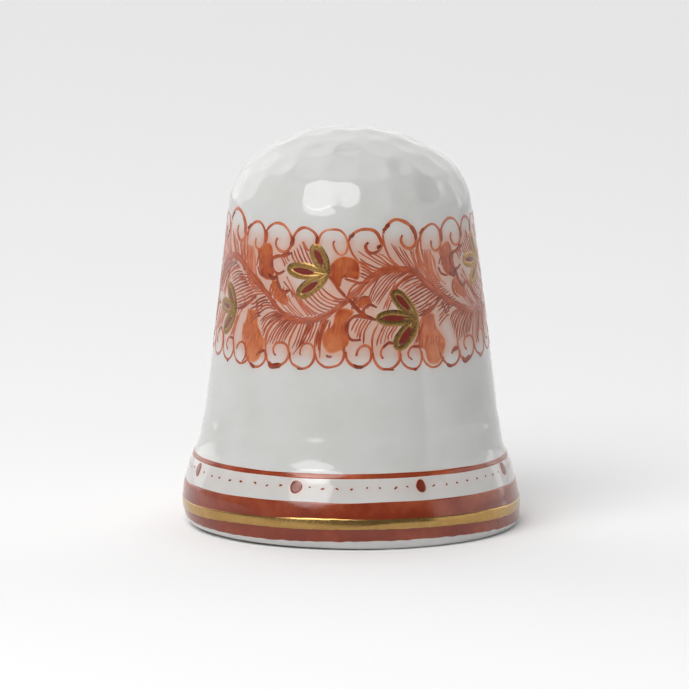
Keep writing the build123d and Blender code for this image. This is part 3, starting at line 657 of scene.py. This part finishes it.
# combs of fine lines: the first and the last line of each, how many, tone
FANS = [
    ([(-46.4, 17.38), (-49.0, 17.98), (-50.6, 18.79), (-51.2, 19.59)], [(-58.6, 18.58), (-59.6, 18.89),
      (-60.4, 19.3), (-60.6, 19.79)], 6, 0.36),
    ([(-43.0, 17.18), (-45.6, 17.58), (-47.6, 18.19), (-48.8, 19.19)], [(-45.0, 17.38), (-47.2, 17.78),
      (-48.8, 18.39), (-50.0, 19.4)], 2, 0.34),
    ([(-48.6, 17.58), (-52.6, 17.68), (-57.0, 17.63), (-61.0, 17.49)], [(-41.6, 16.67), (-47.4, 16.48),
      (-51.6, 16.18), (-54.2, 15.72)], 8, 0.6),
    ([(-40.4, 16.48), (-42.8, 16.33), (-45.4, 16.12), (-47.8, 15.82)], [(-34.6, 15.72), (-38.6, 15.79),
      (-42.4, 15.47), (-44.8, 15.02)], 5, 0.74),
    ([(-33.6, 15.57), (-37.0, 15.42), (-40.2, 15.17), (-42.6, 14.76)], [(-29.6, 15.32), (-33.8, 14.97),
      (-37.6, 14.37), (-39.6, 13.55)], 6, 0.7),
    ([(-28.4, 15.27), (-31.8, 14.86), (-35.4, 14.21), (-38.0, 13.31)], [(-23.6, 15.07), (-25.6, 14.66),
      (-27.6, 14.16), (-29.4, 13.66)], 7, 0.64),
    ([(-20.8, 15.15), (-22.4, 14.56), (-24.0, 13.76), (-25.2, 13.16)], [(-14.2, 15.32), (-15.0, 14.76),
      (-16.4, 14.11), (-17.8, 13.71)], 6, 0.66),
    ([(-16.8, 15.27), (-19.4, 14.32), (-21.8, 13.46), (-24.7, 12.85)], [(-15.4, 15.32), (-18.0, 14.42),
      (-20.4, 13.71), (-22.2, 13.31)], 2, 0.68),
    ([(-12.4, 15.27), (-13.6, 14.66), (-14.2, 14.06), (-14.2, 13.46)], [(-9.4, 15.27), (-11.2, 14.66),
      (-12.6, 13.86), (-12.8, 12.75)], 4, 0.68),
    # trough under the upper flower
    ([(-24.4, 15.32), (-27.4, 15.62), (-30.4, 15.97), (-32.6, 16.33)], [(-20.6, 15.39), (-23.6, 15.77),
      (-26.8, 16.28), (-28.6, 16.72)], 4, 0.56),
    ([(-18.4, 15.47), (-22.4, 16.12), (-26.8, 16.98), (-31.4, 17.58)], [(-13.4, 15.57), (-17.4, 15.87),
      (-21.4, 16.38), (-24.4, 16.98)], 4, 0.62),
    ([(-29.9, 17.98), (-28.4, 17.63), (-26.6, 17.23), (-24.6, 16.83)], [(-31.0, 17.63), (-29.4, 17.33),
      (-27.6, 16.98), (-25.8, 16.57)], 2, 0.62),
    ([(-10.6, 15.69), (-14.6, 15.92), (-18.6, 16.33), (-21.4, 16.78)], [(-2.6, 16.62), (-6.4, 16.67),
      (-10.2, 16.98), (-13.2, 17.49)], 6, 0.62),
    # above the upper flower
    ([(-17.6, 18.89), (-19.2, 19.3), (-21.0, 19.79), (-22.4, 20.3)], [(-25.6, 18.94), (-26.8, 19.14),
      (-27.6, 19.35), (-28.4, 19.59)], 5, 0.62),
    ([(-31.0, 18.63), (-31.8, 18.89), (-32.8, 19.09), (-33.8, 19.21)], [(-29.0, 18.99), (-29.8, 19.14),
      (-30.4, 19.3), (-31.2, 19.4)], 3, 0.58),
    # between the fifth scroll and the stem
    ([(8.8, 18.0), (7.4, 17.98), (5.8, 18.07), (4.2, 18.21)], [(14.6, 18.56), (11.4, 18.69), (7.6, 18.99),
      (4.4, 19.35)], 6, 0.62),
    ([(17.6, 18.69), (13.4, 18.89), (8.4, 19.35), (3.6, 19.81)], [(20.6, 18.79), (18.0, 19.09),
      (15.4, 19.45), (13.0, 19.69)], 4, 0.58),
    # inside the sixth scroll
    ([(27.4, 18.48), (24.2, 19.04), (21.2, 19.69), (19.0, 20.3)], [(31.2, 18.34), (28.8, 18.89),
      (26.6, 19.4), (24.6, 19.84)], 4, 0.6),
    ([(32.4, 18.14), (30.8, 18.69), (29.4, 19.3), (28.6, 19.79)], [(35.2, 17.73), (33.4, 18.39),
      (32.0, 19.09), (31.2, 19.79)], 3, 0.56),
    ([(38.6, 17.33), (36.4, 18.09), (35.4, 18.89), (35.4, 19.69)], [(43.6, 16.72), (41.0, 17.58),
      (39.6, 18.58), (39.4, 19.69)], 6, 0.42),
    # inside the arch, down to the lower flower
    ([(12.0, 18.34), (8.4, 17.88), (5.2, 17.33), (2.4, 16.62)], [(16.0, 18.44), (11.6, 17.98), (7.8, 17.38),
      (5.4, 16.88)], 3, 0.6),
    ([(18.4, 18.48), (13.4, 18.04), (9.6, 17.33), (8.0, 16.72)], [(27.6, 18.34), (21.0, 17.88),
      (15.8, 17.08), (11.6, 16.23)], 6, 0.68),
    ([(29.0, 18.24), (23.8, 17.88), (19.2, 17.28), (16.6, 16.67)], [(30.6, 18.09), (26.4, 17.88),
      (22.6, 17.58), (20.0, 17.23)], 3, 0.66),
    ([(20.4, 17.68), (17.6, 16.98), (15.6, 16.38), (14.6, 15.97)], [(21.2, 17.28), (19.4, 16.78),
      (17.6, 16.28), (16.4, 15.87)], 3, 0.56),
    ([(32.6, 17.83), (28.6, 17.78), (25.2, 17.58), (22.6, 17.33)], [(44.2, 16.33), (38.6, 15.92),
      (34.0, 15.62), (30.6, 15.47)], 11, 0.66),
    # under the stem between the scrolls
    ([(3.2, 15.35), (2.2, 15.12), (1.2, 14.86), (0.6, 14.56)], [(9.0, 15.22), (7.2, 14.86), (5.8, 14.32),
      (5.1, 13.66)], 5, 0.5),
    ([(15.0, 14.97), (13.2, 14.52), (11.8, 13.96), (11.2, 13.46)], [(20.6, 14.86), (19.2, 14.56),
      (18.0, 14.27), (17.2, 13.96)], 5, 0.54),
    ([(32.6, 15.27), (31.2, 14.76), (29.6, 14.06), (27.8, 13.46)], [(31.8, 14.47), (31.0, 14.16),
      (30.2, 13.86), (29.4, 13.51)], 3, 0.52),
    ([(48.4, 16.12), (46.0, 16.02), (43.4, 15.92), (40.8, 15.77)], [(47.6, 15.17), (45.4, 15.07),
      (43.2, 14.81), (41.2, 14.52)], 5, 0.62),
]
# leaf dabs: outline, tone, how the tone changes to the right and upward
LEAVES = [
    ([(-47.8, 19.4), (-44.5, 19.89), (-40.8, 20.05), (-38.4, 19.69), (-37.8, 18.79), (-36.6, 17.98),
      (-38.6, 17.63), (-42.4, 17.68), (-45.6, 18.19), (-46.4, 18.89)], 0.52, (0.05, -0.25)),
    ([(-37.4, 17.63), (-34.6, 17.58), (-32.4, 17.08), (-30.0, 16.83), (-28.2, 16.48), (-28.4, 16.09),
      (-31.2, 16.09), (-35.0, 16.38), (-37.4, 16.88)], 0.4, (0.0, -0.1)),
    ([(-9.4, 18.89), (-6.0, 19.35), (-3.0, 19.49), (0.6, 19.4), (3.6, 19.09), (4.2, 18.39), (3.2, 17.93),
      (-1.4, 18.09), (-4.6, 17.88), (-4.6, 17.38), (-6.6, 17.58), (-9.2, 18.09)], 0.4, (0.0, -0.12)),
    ([(2.4, 16.43), (3.4, 16.72), (6.0, 16.83), (8.4, 16.57), (8.2, 16.28), (6.0, 16.07), (3.4, 16.12)],
      0.44, (0.0, 0.0)),
    ([(-1.6, 15.97), (1.4, 15.77), (-0.6, 15.37), (-1.8, 14.76), (-0.6, 13.96), (-2.4, 13.46),
      (-7.6, 13.11), (-10.6, 13.36), (-12.0, 14.06), (-10.0, 14.66), (-7.4, 14.86), (-7.0, 15.47),
      (-4.8, 15.97)], 0.38, (0.15, 0.1)),
    ([(33.6, 15.37), (39.4, 15.27), (40.0, 14.56), (42.6, 13.96), (44.6, 13.46), (43.4, 12.85),
      (41.6, 12.35), (38.6, 12.1), (35.2, 12.3), (34.0, 13.06), (31.6, 13.36), (31.4, 14.27),
      (33.0, 14.66)], 0.34, (-0.05, 0.08)),
]
# hub, petal tips with half widths
FLOWERS = [
    ((-10.4, 18.24), [((-17.4, 20.25), 0.50), ((-30.0, 18.53), 0.50), ((-24.2, 16.72), 0.49)]),
    ((30.0, 15.22), [((18.6, 17.13), 0.50), ((10.6, 15.37), 0.50), ((19.2, 13.21), 0.58)]),
]
# how each quarter departs from that: every leaf's step aside and growth, then the size of its flowers
LEAF_CHANGES = [
    [(0, 1.06), (0, 1.05), (0, 1.05), (0, 1.1), (0, 1.10), (-1.0, 1.12)],
    [(1.5, 1.00), (0, 1.05), (0, 1.05), (0, 1.1), (1, 1.05), (0, 1.05)],
    [(0, 1.05), (1, 1.10), (-1, 1.05), (0, 1.1), (0, 1.12), (2.0, 1.05)],
    [(0, 1.10), (0, 1.05), (1, 1.10), (0, 1.1), (0, 1.10), (6.0, 1.14)],
]
FLOWER_SIZES = [1.0, 0.93, 0.97, 0.86]

# how the brush is handled for each kind of line
HOOK = {"ends": (0.8, 0.75), "pool": 0.30, "tint": 0.6}
CURL = {"ends": (0.6, 0.7), "tint": 0.6}
ACCENT = {"lift": 0.027, "ends": (0.55, 0.45), "pool": 0.05, "tint": 0.4}
LEADER = {"lift": 0.018, "ends": (0.8, 0.7), "pool": 0.1}
STEM = {"ends": (0.5, 0.5), "pool": 0.05, "wobble": 0.05}
STEM_EDGE = {"lift": 0.019, "pool": 0.05, "wobble": 0.05}
SPRIG = {"lift": 0.024, "ends": (0.5, 0.5), "pool": 0.12}
FEATHER = {"lift": 0.017, "ends": (0.9, 0.45), "pool": 0.10, "wobble": 0.012, "tint": 1.4}
LEAF_DAB = {"blot": 0.20}
LEAF_MARK = {"lift": 0.014, "ends": (0.4, 0.4), "pool": 0.05, "tint": 0}
PETAL_HEART = {"lift": 0.020, "rim": 0.2, "blot": 0.12, "tint": 0}
PETAL_EDGE = {"lift": 0.028, "ends": (0.8, 0.8), "pool": 0.0, "tint": 0}
PETAL_RIB = {"lift": 0.036, "ends": (1.0, 0.3), "pool": 0.0, "tint": 0}


def between(a, b, share):
    return (a[0] + (b[0] - a[0]) * share, a[1] + (b[1] - a[1]) * share)


def teardrop(hub, tip, half, inner, outer, width, count=40):
    """Closed (azimuth, height) outline of a petal, pointed at the hub."""
    reference = (hub[1] + tip[1]) / 2
    a, b = to_flat([hub, tip], reference)
    along = b - a
    across = np.array([-along[1], along[0]]) / np.linalg.norm(along)
    theta = np.linspace(-math.pi, math.pi, count, endpoint=False)
    u = inner + (outer - inner) * (1 + np.cos(theta)) / 2
    side = np.sin(theta) * np.abs(np.cos(theta / 2)) ** 0.55 * 1.18
    flat = a + along * u[:, None] + across * (side * half * width)[:, None]
    return np.stack(to_wall(flat, reference), 1)


def paint_stem(batch, quarter, rng):
    """Eight overlapping strokes, each with thinner ones beside it."""
    for k in range(8):
        start = QUARTER * quarter - 47.5 + 11.5 * k
        azimuths = [start + 2.9 * step for step in range(6)]
        path = [(a, stem_height((a + 180) % 360 - 180)) for a in azimuths]
        stroke(batch, path, 0.25 + 0.06 * (k % 2), 0.60, rng, **STEM)
        for offset in (-0.19, -0.10, 0.11, 0.18):
            beside = [(a, z + offset * rng.uniform(0.7, 1.3)) for a, z in path]
            stroke(batch, beside, 0.12, 0.66, rng, **STEM_EDGE)


def paint_fan(batch, first, last, count, tone, rng, turn):
    """Fine lines combed between the first and the last, looser towards their ends."""
    for k in range(count):
        points = []
        for reach, (one, two) in enumerate(zip(first, last)):
            azimuth, height = between(one, two, k / max(1, count - 1))
            looseness = 0.3 + 0.25 * reach
            azimuth += rng.uniform(-0.3, 0.3) * looseness
            height += rng.uniform(-0.05, 0.05) * looseness
            points.append((azimuth, height))
        width = rng.uniform(0.095, 0.135)
        stroke(batch, points, width, tone + rng.uniform(-0.08, 0.12), rng, turn, **FEATHER)


def paint_leaf_marks(batch, middle, tone, rng, turn):
    """Brush marks left inside a leaf's wash."""
    for k in range(7):
        size = rng.uniform(0.25, 0.55)
        start = (middle[0] + (k - 3) * 1.352 + rng.uniform(-0.6, 0.6), middle[1] + size)
        end = (start[0] - rng.uniform(0.5, 1.8), middle[1] - size)
        stroke(batch, [start, between(start, end, 0.5), end], 0.14, tone, rng, turn, **LEAF_MARK)


def paint_petal(hearts, petals, hub, tip, half, rng, turn):
    """A dark heart with a gilt line round it and a gilt rib out of the hub."""
    patch(hearts, teardrop(hub, tip, half, 0.22, 0.86, 0.55), 0.5, rng, turn, **PETAL_HEART)
    ring = teardrop(hub, tip, half, 0.02, 0.93, 0.74, 30)
    stroke(petals, [*map(tuple, ring), tuple(ring[0])], 0.44, 0.8, rng, turn, **PETAL_EDGE)
    rib_end = between(hub, tip, 0.34)
    stroke(petals, [hub, between(hub, rib_end, 0.5), rib_end], 0.22, 0.8, rng, turn, **PETAL_RIB)


upper, lower, stems, feathers, washes, hearts, petals = (Batch() for _ in range(7))
for quarter in range(4):
    rng = random.Random(40 + quarter)
    turn = QUARTER * quarter
    loose = 0.0 if quarter == 0 else 1.0

    def shift(points, amount=0.35):
        """The points moved together by a little, except in the first quarter."""
        da, dz = loose * rng.uniform(-amount, amount), loose * rng.uniform(-amount, amount) * 0.12
        return [(a + da, z + dz) for a, z in points]

    for batch, hooks in ((upper, UPPER_HOOKS), (lower, LOWER_HOOKS)):
        for points, width, tone in hooks:
            stroke(batch, shift(points, 0.5), width, tone, rng, turn, **HOOK)
    if quarter:
        stroke(lower, shift(LAST_CURL), 0.18, 0.5, rng, turn, **CURL)
    for points, width, tone in ACCENTS:
        batch = upper if points[0][1] > STEM_MIDDLE else lower
        stroke(batch, shift(points, 0.3), width, tone, rng, turn, **ACCENT)
    for batch, leaders in ((upper, LEADERS_UP), (lower, LEADERS_DOWN)):
        for points in leaders:
            stroke(batch, shift(points), 0.16, 0.50, rng, turn, **LEADER)
    paint_stem(stems, quarter, rng)
    for points, width, tone in SPRIGS:
        stroke(stems, shift(points), width, tone, rng, turn, **SPRIG)
    for first, last, count, tone in FANS:
        paint_fan(feathers, first, last, count, tone, rng, turn)
    for (outline, tone, shade), (aside, growth) in zip(LEAVES, LEAF_CHANGES[quarter]):
        a, z = np.mean(outline, axis=0)
        outline = [(a + aside + growth * (p[0] - a), z + growth * (p[1] - z)) for p in outline]
        closed = catmull([*outline, outline[0]], 0.5)[:-1]
        patch(washes, shift(closed), tone + 0.14, rng, turn, shade=shade, **LEAF_DAB)
        paint_leaf_marks(washes, np.mean(outline, axis=0), tone + 0.32, rng, turn)
    size = FLOWER_SIZES[quarter]
    for hub, tips in FLOWERS:
        for tip, half in tips:
            paint_petal(hearts, petals, hub, between(hub, tip, size), half * size, rng, turn)

# ------------------------------------------------------------------ painted foot
ROUND = 900
azimuths = np.linspace(0, 360, ROUND, endpoint=False)
to_right = np.sin(azimuths * DEG)
THIN_LINE_LEVEL = 4.92
RED_TOP, RED_BOTTOM = 3.26, 0.56
GILT_LEVEL, GILT_HALF, GILT_TONE = 1.82, 0.37, 0.85
LARGE_DOT_LEVEL, SMALL_DOT_LEVEL = 4.15, 4.14
LARGE_DOTS = [25.9, 72.5, 118.0, 163.0, 207.0, 249.0, 289.3, 340.3]
SMALL_PER_GAP = 8
LARGE_DOT = {"lift": 0.030, "rim": 0.12, "blot": 0.08, "tint": 0.12}
SMALL_DOT = {"lift": 0.018, "rim": 0.1, "rings": 4, "blot": 0.05, "tint": 0.12}


def ring_noise(seed, waves, amount):
    """Random ripple round the foot, made of these numbers of waves."""
    rng = random.Random(seed)
    total = np.zeros(ROUND)
    for wave in waves:
        total += rng.uniform(0.4, 1) / len(waves) * np.sin(wave * azimuths * DEG + rng.uniform(0, 6.28))
    return amount * total * 2


def band(batch, top, bottom, rows, lift, ink, edge):
    """A painted ring between two wavering heights; ink gives the tone by share from top to bottom."""
    share = np.linspace(0, 1, rows)[1:-1] * (1 - 2 * edge) + edge
    share = np.concatenate([[0.0, edge], share, [1 - edge, 1.0]])[:, None]
    heights = top[None, :] + (bottom - top)[None, :] * share
    lifts = np.full_like(heights, lift)
    lifts[[0, -1]] = -0.3 * lift
    xyz = skin(np.broadcast_to(azimuths, heights.shape), heights, lifts)
    shade = np.clip(np.broadcast_to(ink(share), heights.shape), 0.02, 1)
    shade[[0, -1]] = 0
    batch.grid(np.transpose(xyz, (1, 0, 2)), shade.T, closed_u=True)


def line_ink(share):
    return 0.62 + 0.40 * np.abs(share - 0.5) + ring_noise(5, (3, 5, 8, 13, 21), 0.12)


def band_ink(share):
    streaks = ring_noise(9, (3, 4, 7, 11), 0.10) * np.cos(share * 7)
    streaks = streaks + ring_noise(10, (2, 5, 13, 19, 27), 0.07)
    return 0.50 + 0.22 * np.sin(share * math.pi * 1.05) ** 2 * share + streaks - 0.10 * (1 - share)


thin_line, red_band, gilt_band, large_dots, small_dots = (Batch() for _ in range(5))

centre = THIN_LINE_LEVEL - 0.13 * to_right ** 2 + ring_noise(3, (1, 2, 3, 5), 0.035)
breadth = 0.34 + ring_noise(4, (2, 3, 7, 11, 17), 0.035)
band(thin_line, centre + breadth / 2, centre - breadth / 2, 7, 0.020, line_ink, edge=0.14)

top = RED_TOP - 0.10 * to_right ** 2 + ring_noise(6, (1, 2, 5, 9, 14), 0.05)
frayed = ring_noise(7, (2, 3), 0.08) + ring_noise(8, (17, 23, 31, 44, 61, 80), 0.035)
band(red_band, top, RED_BOTTOM - 0.04 * to_right + frayed, 26, 0.020, band_ink, edge=0.02)

level = GILT_LEVEL - 0.02 * to_right - 0.30 * to_right ** 2
top = level + GILT_HALF + ring_noise(11, (3, 6, 10), 0.035) + ring_noise(12, (37, 52, 71), 0.012)
bottom = level - GILT_HALF + ring_noise(13, (2, 5, 9), 0.04) + ring_noise(14, (41, 57, 83), 0.014)
band(gilt_band, top, bottom, 9, 0.045, lambda share: GILT_TONE, edge=0.07)


def around(count):
    return np.linspace(0, 2 * math.pi, count, endpoint=False)


def placed(azimuth, height, x, y):
    """Outline of a dot from millimetre offsets round its centre."""
    return np.stack([azimuth + x / mm_per_degree(height), height + y], 1)


dot_rng = random.Random(12)
for azimuth, following in zip(LARGE_DOTS, [*LARGE_DOTS[1:], LARGE_DOTS[0] + 360]):
    height = LARGE_DOT_LEVEL + dot_rng.uniform(-0.05, 0.05)
    theta = around(28)
    lump = 1 + 0.06 * np.sin(2 * theta + dot_rng.uniform(0, 6))
    lump += 0.04 * np.sin(3 * theta + dot_rng.uniform(0, 6))
    width, tall = dot_rng.uniform(0.38, 0.44), 0.95 * dot_rng.uniform(0.46, 0.52)
    outline = placed(azimuth, height, width * lump * np.cos(theta), tall * lump * np.sin(theta))
    patch(large_dots, outline, 0.86, dot_rng, shade=(-0.3, -0.1), **LARGE_DOT)
    for step in range(1, SMALL_PER_GAP + 1):
        at = azimuth + (following - azimuth) * step / (SMALL_PER_GAP + 1) + dot_rng.uniform(-0.5, 0.5)
        height = SMALL_DOT_LEVEL + dot_rng.uniform(-0.06, 0.06)
        long, thin = dot_rng.uniform(0.09, 0.17), dot_rng.uniform(0.06, 0.085)
        tilt = dot_rng.uniform(-0.6, 0.6)
        theta = around(14)
        x = long * np.cos(theta) * math.cos(tilt) - thin * np.sin(theta) * math.sin(tilt)
        y = long * np.cos(theta) * math.sin(tilt) + thin * np.sin(theta) * math.cos(tilt)
        patch(small_dots, placed(at, height, x, y), 0.88, dot_rng, **SMALL_DOT)

# ------------------------------------------------------------------ clay and glaze
SEGMENTS = 384
FOOT_LENGTH = 8.5
POLE_GAP = 0.2
TINT_CELL = 0.16
TINT_TOP = 23.6
TINT_COLUMN_WIDTH = 0.155
# haze over a whole strip: strength, low edge and how fast it comes in, high edge and how fast it fades
HAZES = [(0.62, 12.1, 0.8, 21.2, 0.8), (0.10, 3.1, 0.5, 4.95, 0.4)]
# (radius, height) from the mouth to the top of the finger hollow
HOLLOW_POINTS = [
    (8.98, 0.10), (8.84, 0.12), (8.68, 0.24), (8.56, 0.5), (8.46, 1.2), (7.84, 8.0), (7.20, 15.0),
    (6.72, 20.0), (6.32, 21.8), (5.5, 23.1), (3.8, 24.1), (1.9, 24.5), (0.3, 24.6),
]
HOLLOW_TOP = 24.6
# bare clay: behind the lining, then the rounded foot ring that it stands on
CLAY_INSIDE = [(0.0, 24.8), (3.9, 24.25), (6.5, 21.8), (8.62, 0.5)]
FOOT_RING = [
    (8.86, 0.30), (8.94, 0.10), (9.12, 0.015), (9.40, 0.0), (10.05, 0.0), (10.34, 0.015), (10.56, 0.09),
    (10.68, 0.26),
]
FOOT_RING_TOP = 0.3
GLAZE_DEPTH = 0.18
CROWN_FROM = 20


def blur(field, axis):
    kernel = np.exp(-np.linspace(-2, 2, 9) ** 2)
    kernel /= kernel.sum()
    return np.apply_along_axis(lambda line: np.convolve(line, kernel, "same"), axis, field)


def tint_field(azimuth, height):
    """Thin rosy haze that the painted lines leave in the glaze round them."""
    rows = int(TINT_TOP / TINT_CELL)
    field = np.zeros((rows, 360))
    for a, z, weight in tint_marks:
        i = np.clip((z / TINT_CELL).astype(int), 0, rows - 1)
        np.add.at(field, (i, np.floor(a).astype(int) % 360), weight)
    field = blur(np.hstack([field[:, -8:], field, field[:, :8]]), 1)[:, 8:-8]
    field = blur(field, 0) / (TINT_CELL * TINT_COLUMN_WIDTH)
    level = TINT_CELL * (np.arange(rows) + 0.5)
    for strength, low, low_fade, high, high_fade in HAZES:
        haze = np.clip((level - low) / low_fade, 0, 1) * np.clip((high - level) / high_fade, 0, 1)
        field += strength * haze[:, None]
    i = np.clip(height / TINT_CELL - 0.5, 0, rows - 1.001)
    j = (azimuth - 0.5) % 360
    i0, j0 = i.astype(int), j.astype(int)
    i1, j1 = np.minimum(i0 + 1, rows - 1), (j0 + 1) % 360
    fi, fj = i - i0, j - j0
    below = field[i0, j0] * (1 - fj) + field[i0, j1] * fj
    above = field[i1, j0] * (1 - fj) + field[i1, j1] * fj
    return np.clip(below * (1 - fi) + above * fi, 0, 1)


def turned(name, profile, segments, surface, uneven=0.0):
    """Surface of revolution from (radius, height) points; a point on the axis closes it."""
    a = np.linspace(0, 2 * math.pi, segments, endpoint=False)
    points, rows, faces = [], [], []
    for radius, height in profile:
        if radius < 1e-6:
            rows.append([len(points)] * segments)
            points.append((0, 0, height))
            continue
        rows.append(list(range(len(points), len(points) + segments)))
        r = radius + uneven * (np.sin(3 * a + height * 0.4) + 0.6 * np.sin(7 * a - height))
        points.extend(np.stack([r * np.sin(a), -r * np.cos(a), np.full(segments, height)], 1).tolist())
    for low_row, high_row in zip(rows, rows[1:]):
        for k in range(segments):
            n = (k + 1) % segments
            # a corner on the axis counts once
            faces.append(tuple(dict.fromkeys([low_row[k], low_row[n], high_row[n], high_row[k]])))
    return build(name, points, faces, {}, surface)


def outer_skin():
    """The glazed outside with its dimples, coarser on the plain foot."""
    columns = np.linspace(0, 360, SEGMENTS, endpoint=False)
    on_foot = np.linspace(0, FOOT_LENGTH, 60, endpoint=False)
    s_values = np.concatenate([on_foot, np.linspace(FOOT_LENGTH, TOTAL - POLE_GAP, 165)])
    a, s = np.meshgrid(columns, s_values, indexing="ij")
    depth = dimple_depth(skin_at(a.ravel(), s.ravel()), dimple_centres(5))
    points = skin_at(a.ravel(), s.ravel(), -depth).reshape(*a.shape, 3)
    batch = Batch()
    batch.grid(points, tint_field(a, np.interp(s, LENGTH, PROFILE[:, 1])), closed_u=True)
    last_ring = np.arange(SEGMENTS) * len(s_values) + len(s_values) - 1
    batch.fan(skin_at(np.array(0.0), np.array(TOTAL), -DIMPLE_DEPTH), 0.0, last_ring)
    return batch.piece("outer_glaze_skin", glaze, "tint")


outer_glaze = outer_skin()
hollow = catmull(HOLLOW_POINTS, 0.35)
inner_glaze = turned("inner_glaze_skin", [(0.0, HOLLOW_TOP), *hollow[::-1]], 160, glaze_inside, 0.006)

outside = [(r, z) for r, z in resample(PROFILE, 0.6) if z > FOOT_RING_TOP]
under_glaze = [(max(r - GLAZE_DEPTH, 0.0), z - (GLAZE_DEPTH if z > CROWN_FROM else 0.0)) for r, z in outside]
ring = [(r, max(z, 0.0)) for r, z in catmull(FOOT_RING, 0.08)]
clay = turned("biscuit_clay", [*CLAY_INSIDE, *ring, *under_glaze[1:]], 192, biscuit)

made = {
    "biscuit_body": (clay, "biscuit"),
    "outer_glaze": (outer_glaze, "clear_glaze"),
    "inner_glaze": (inner_glaze, "clear_glaze"),
}
RED = ("paint", line_red, "iron_red_line")
# node, its brushwork, the end of the piece's name, material, slot
painted = [
    ("foot_upper_line", thin_line, *RED),
    ("foot_large_dots", large_dots, *RED),
    ("foot_small_dots", small_dots, *RED),
    ("foot_red_band", red_band, "paint", band_red, "iron_red_band"),
    ("foot_gilt_band", gilt_band, "gold", gilding, "gilding"),
    ("frieze_stem", stems, *RED),
    ("frieze_upper_scrolls", upper, *RED),
    ("frieze_lower_scrolls", lower, *RED),
    ("frieze_feather_lines", feathers, *RED),
    ("frieze_leaf_washes", washes, "paint", wash_orange, "orange_wash"),
    ("flower_gilt_petals", petals, "gold", shaded_petal_gilding, "gilding"),
    ("flower_red_hearts", hearts, "paint", heart_red, "dark_red"),
]
for node, batch, finish, colour, slot_name in painted:
    made[node] = (batch.piece(f"{node}_{finish}", colour), slot_name)
for node, (piece, slot_name) in made.items():
    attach(piece, "root")
    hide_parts(node)

# ------------------------------------------------------------------ floor, light and camera
FLOOR_HALF = 3
FLOOR_WHITE = (0.93, 0.93, 0.93)
WORLD_LIGHT = 0.13
TARGET = Vector((-0.0004, 0.0, 0.01207))
CAMERA_ELEVATION = 9.8
CAMERA_DISTANCE = 1.50
CAMERA_LENS = 1166

corners = [(x * FLOOR_HALF, y * FLOOR_HALF, 0) for x, y in ((-1, -1), (1, -1), (1, 1), (-1, 1))]
floor_mesh = bpy.data.meshes.new("floor")
floor_mesh.from_pydata(corners, [], [(0, 1, 2, 3)])
floor = bpy.data.objects.new("floor", floor_mesh)
bpy.context.scene.collection.objects.link(floor)
paper = Paint("floor_paper")
paper.surface(Base_Color=FLOOR_WHITE, Roughness=0.9, Specular_IOR_Level=0.1)
floor_mesh.materials.append(paper.material)


def aim(thing, azimuth, elevation, distance):
    """Stands a lamp or a camera off in this direction, facing the thimble."""
    a, e = azimuth * DEG, elevation * DEG
    towards = Vector((math.sin(a) * math.cos(e), -math.cos(a) * math.cos(e), math.sin(e)))
    thing.location = TARGET + towards * distance
    thing.rotation_mode = "QUATERNION"
    thing.rotation_quaternion = towards.to_track_quat("Z", "Y")
    bpy.context.scene.collection.objects.link(thing)


def softbox(name, azimuth, elevation, distance, width, height, radiance, lighting=True, mirrored=True,
            shape="RECTANGLE"):
    """A soft panel facing the thimble; it can light it, show in its gloss, or both."""
    light = bpy.data.lights.new(name, "AREA")
    light.shape = shape
    light.size, light.size_y = width, height
    light.energy = radiance * width * height * math.pi
    lamp = bpy.data.objects.new(name, light)
    lamp.visible_diffuse = lighting
    lamp.visible_glossy = mirrored
    lamp.visible_camera = False
    aim(lamp, azimuth, elevation, distance)


# name, azimuth, elevation, distance, width, height, radiance
softbox("key_box", -30, 52, 0.40, 0.31, 0.33, 3.55, shape="ELLIPSE")
softbox("key_skirt", -30, 24, 0.40, 0.23, 0.16, 3.1, lighting=False, shape="ELLIPSE")
softbox("left_panel", -127, 14, 0.60, 0.62, 0.80, 0.45)
softbox("left_card", -62, 4, 0.60, 1.00, 0.32, 0.18, lighting=False)
softbox("right_card", 97, 10, 0.60, 0.90, 0.34, 0.95, lighting=False)
softbox("right_panel", 97, 12, 0.60, 0.90, 0.34, 0.30, mirrored=False)
softbox("back_panel", 180, 24, 0.70, 2.00, 0.86, 1.00)
softbox("top_panel", 180, 76, 0.70, 0.60, 0.45, 0.80)
softbox("front_panel", -20, 8, 0.70, 1.90, 0.70, 0.36, mirrored=False)

world = bpy.data.worlds.new("studio")
world.use_nodes = True
background = world.node_tree.nodes["Background"]
background.inputs[0].default_value = (1, 1, 1, 1)
background.inputs[1].default_value = WORLD_LIGHT
bpy.context.scene.world = world

camera = bpy.data.cameras.new("camera")
camera.lens = CAMERA_LENS
camera.sensor_width = 36
camera.clip_start, camera.clip_end = 0.01, 10
eye = bpy.data.objects.new("camera", camera)
aim(eye, 0, CAMERA_ELEVATION, CAMERA_DISTANCE)
bpy.context.scene.camera = eye
bpy.context.scene.view_settings.view_transform = "Standard"
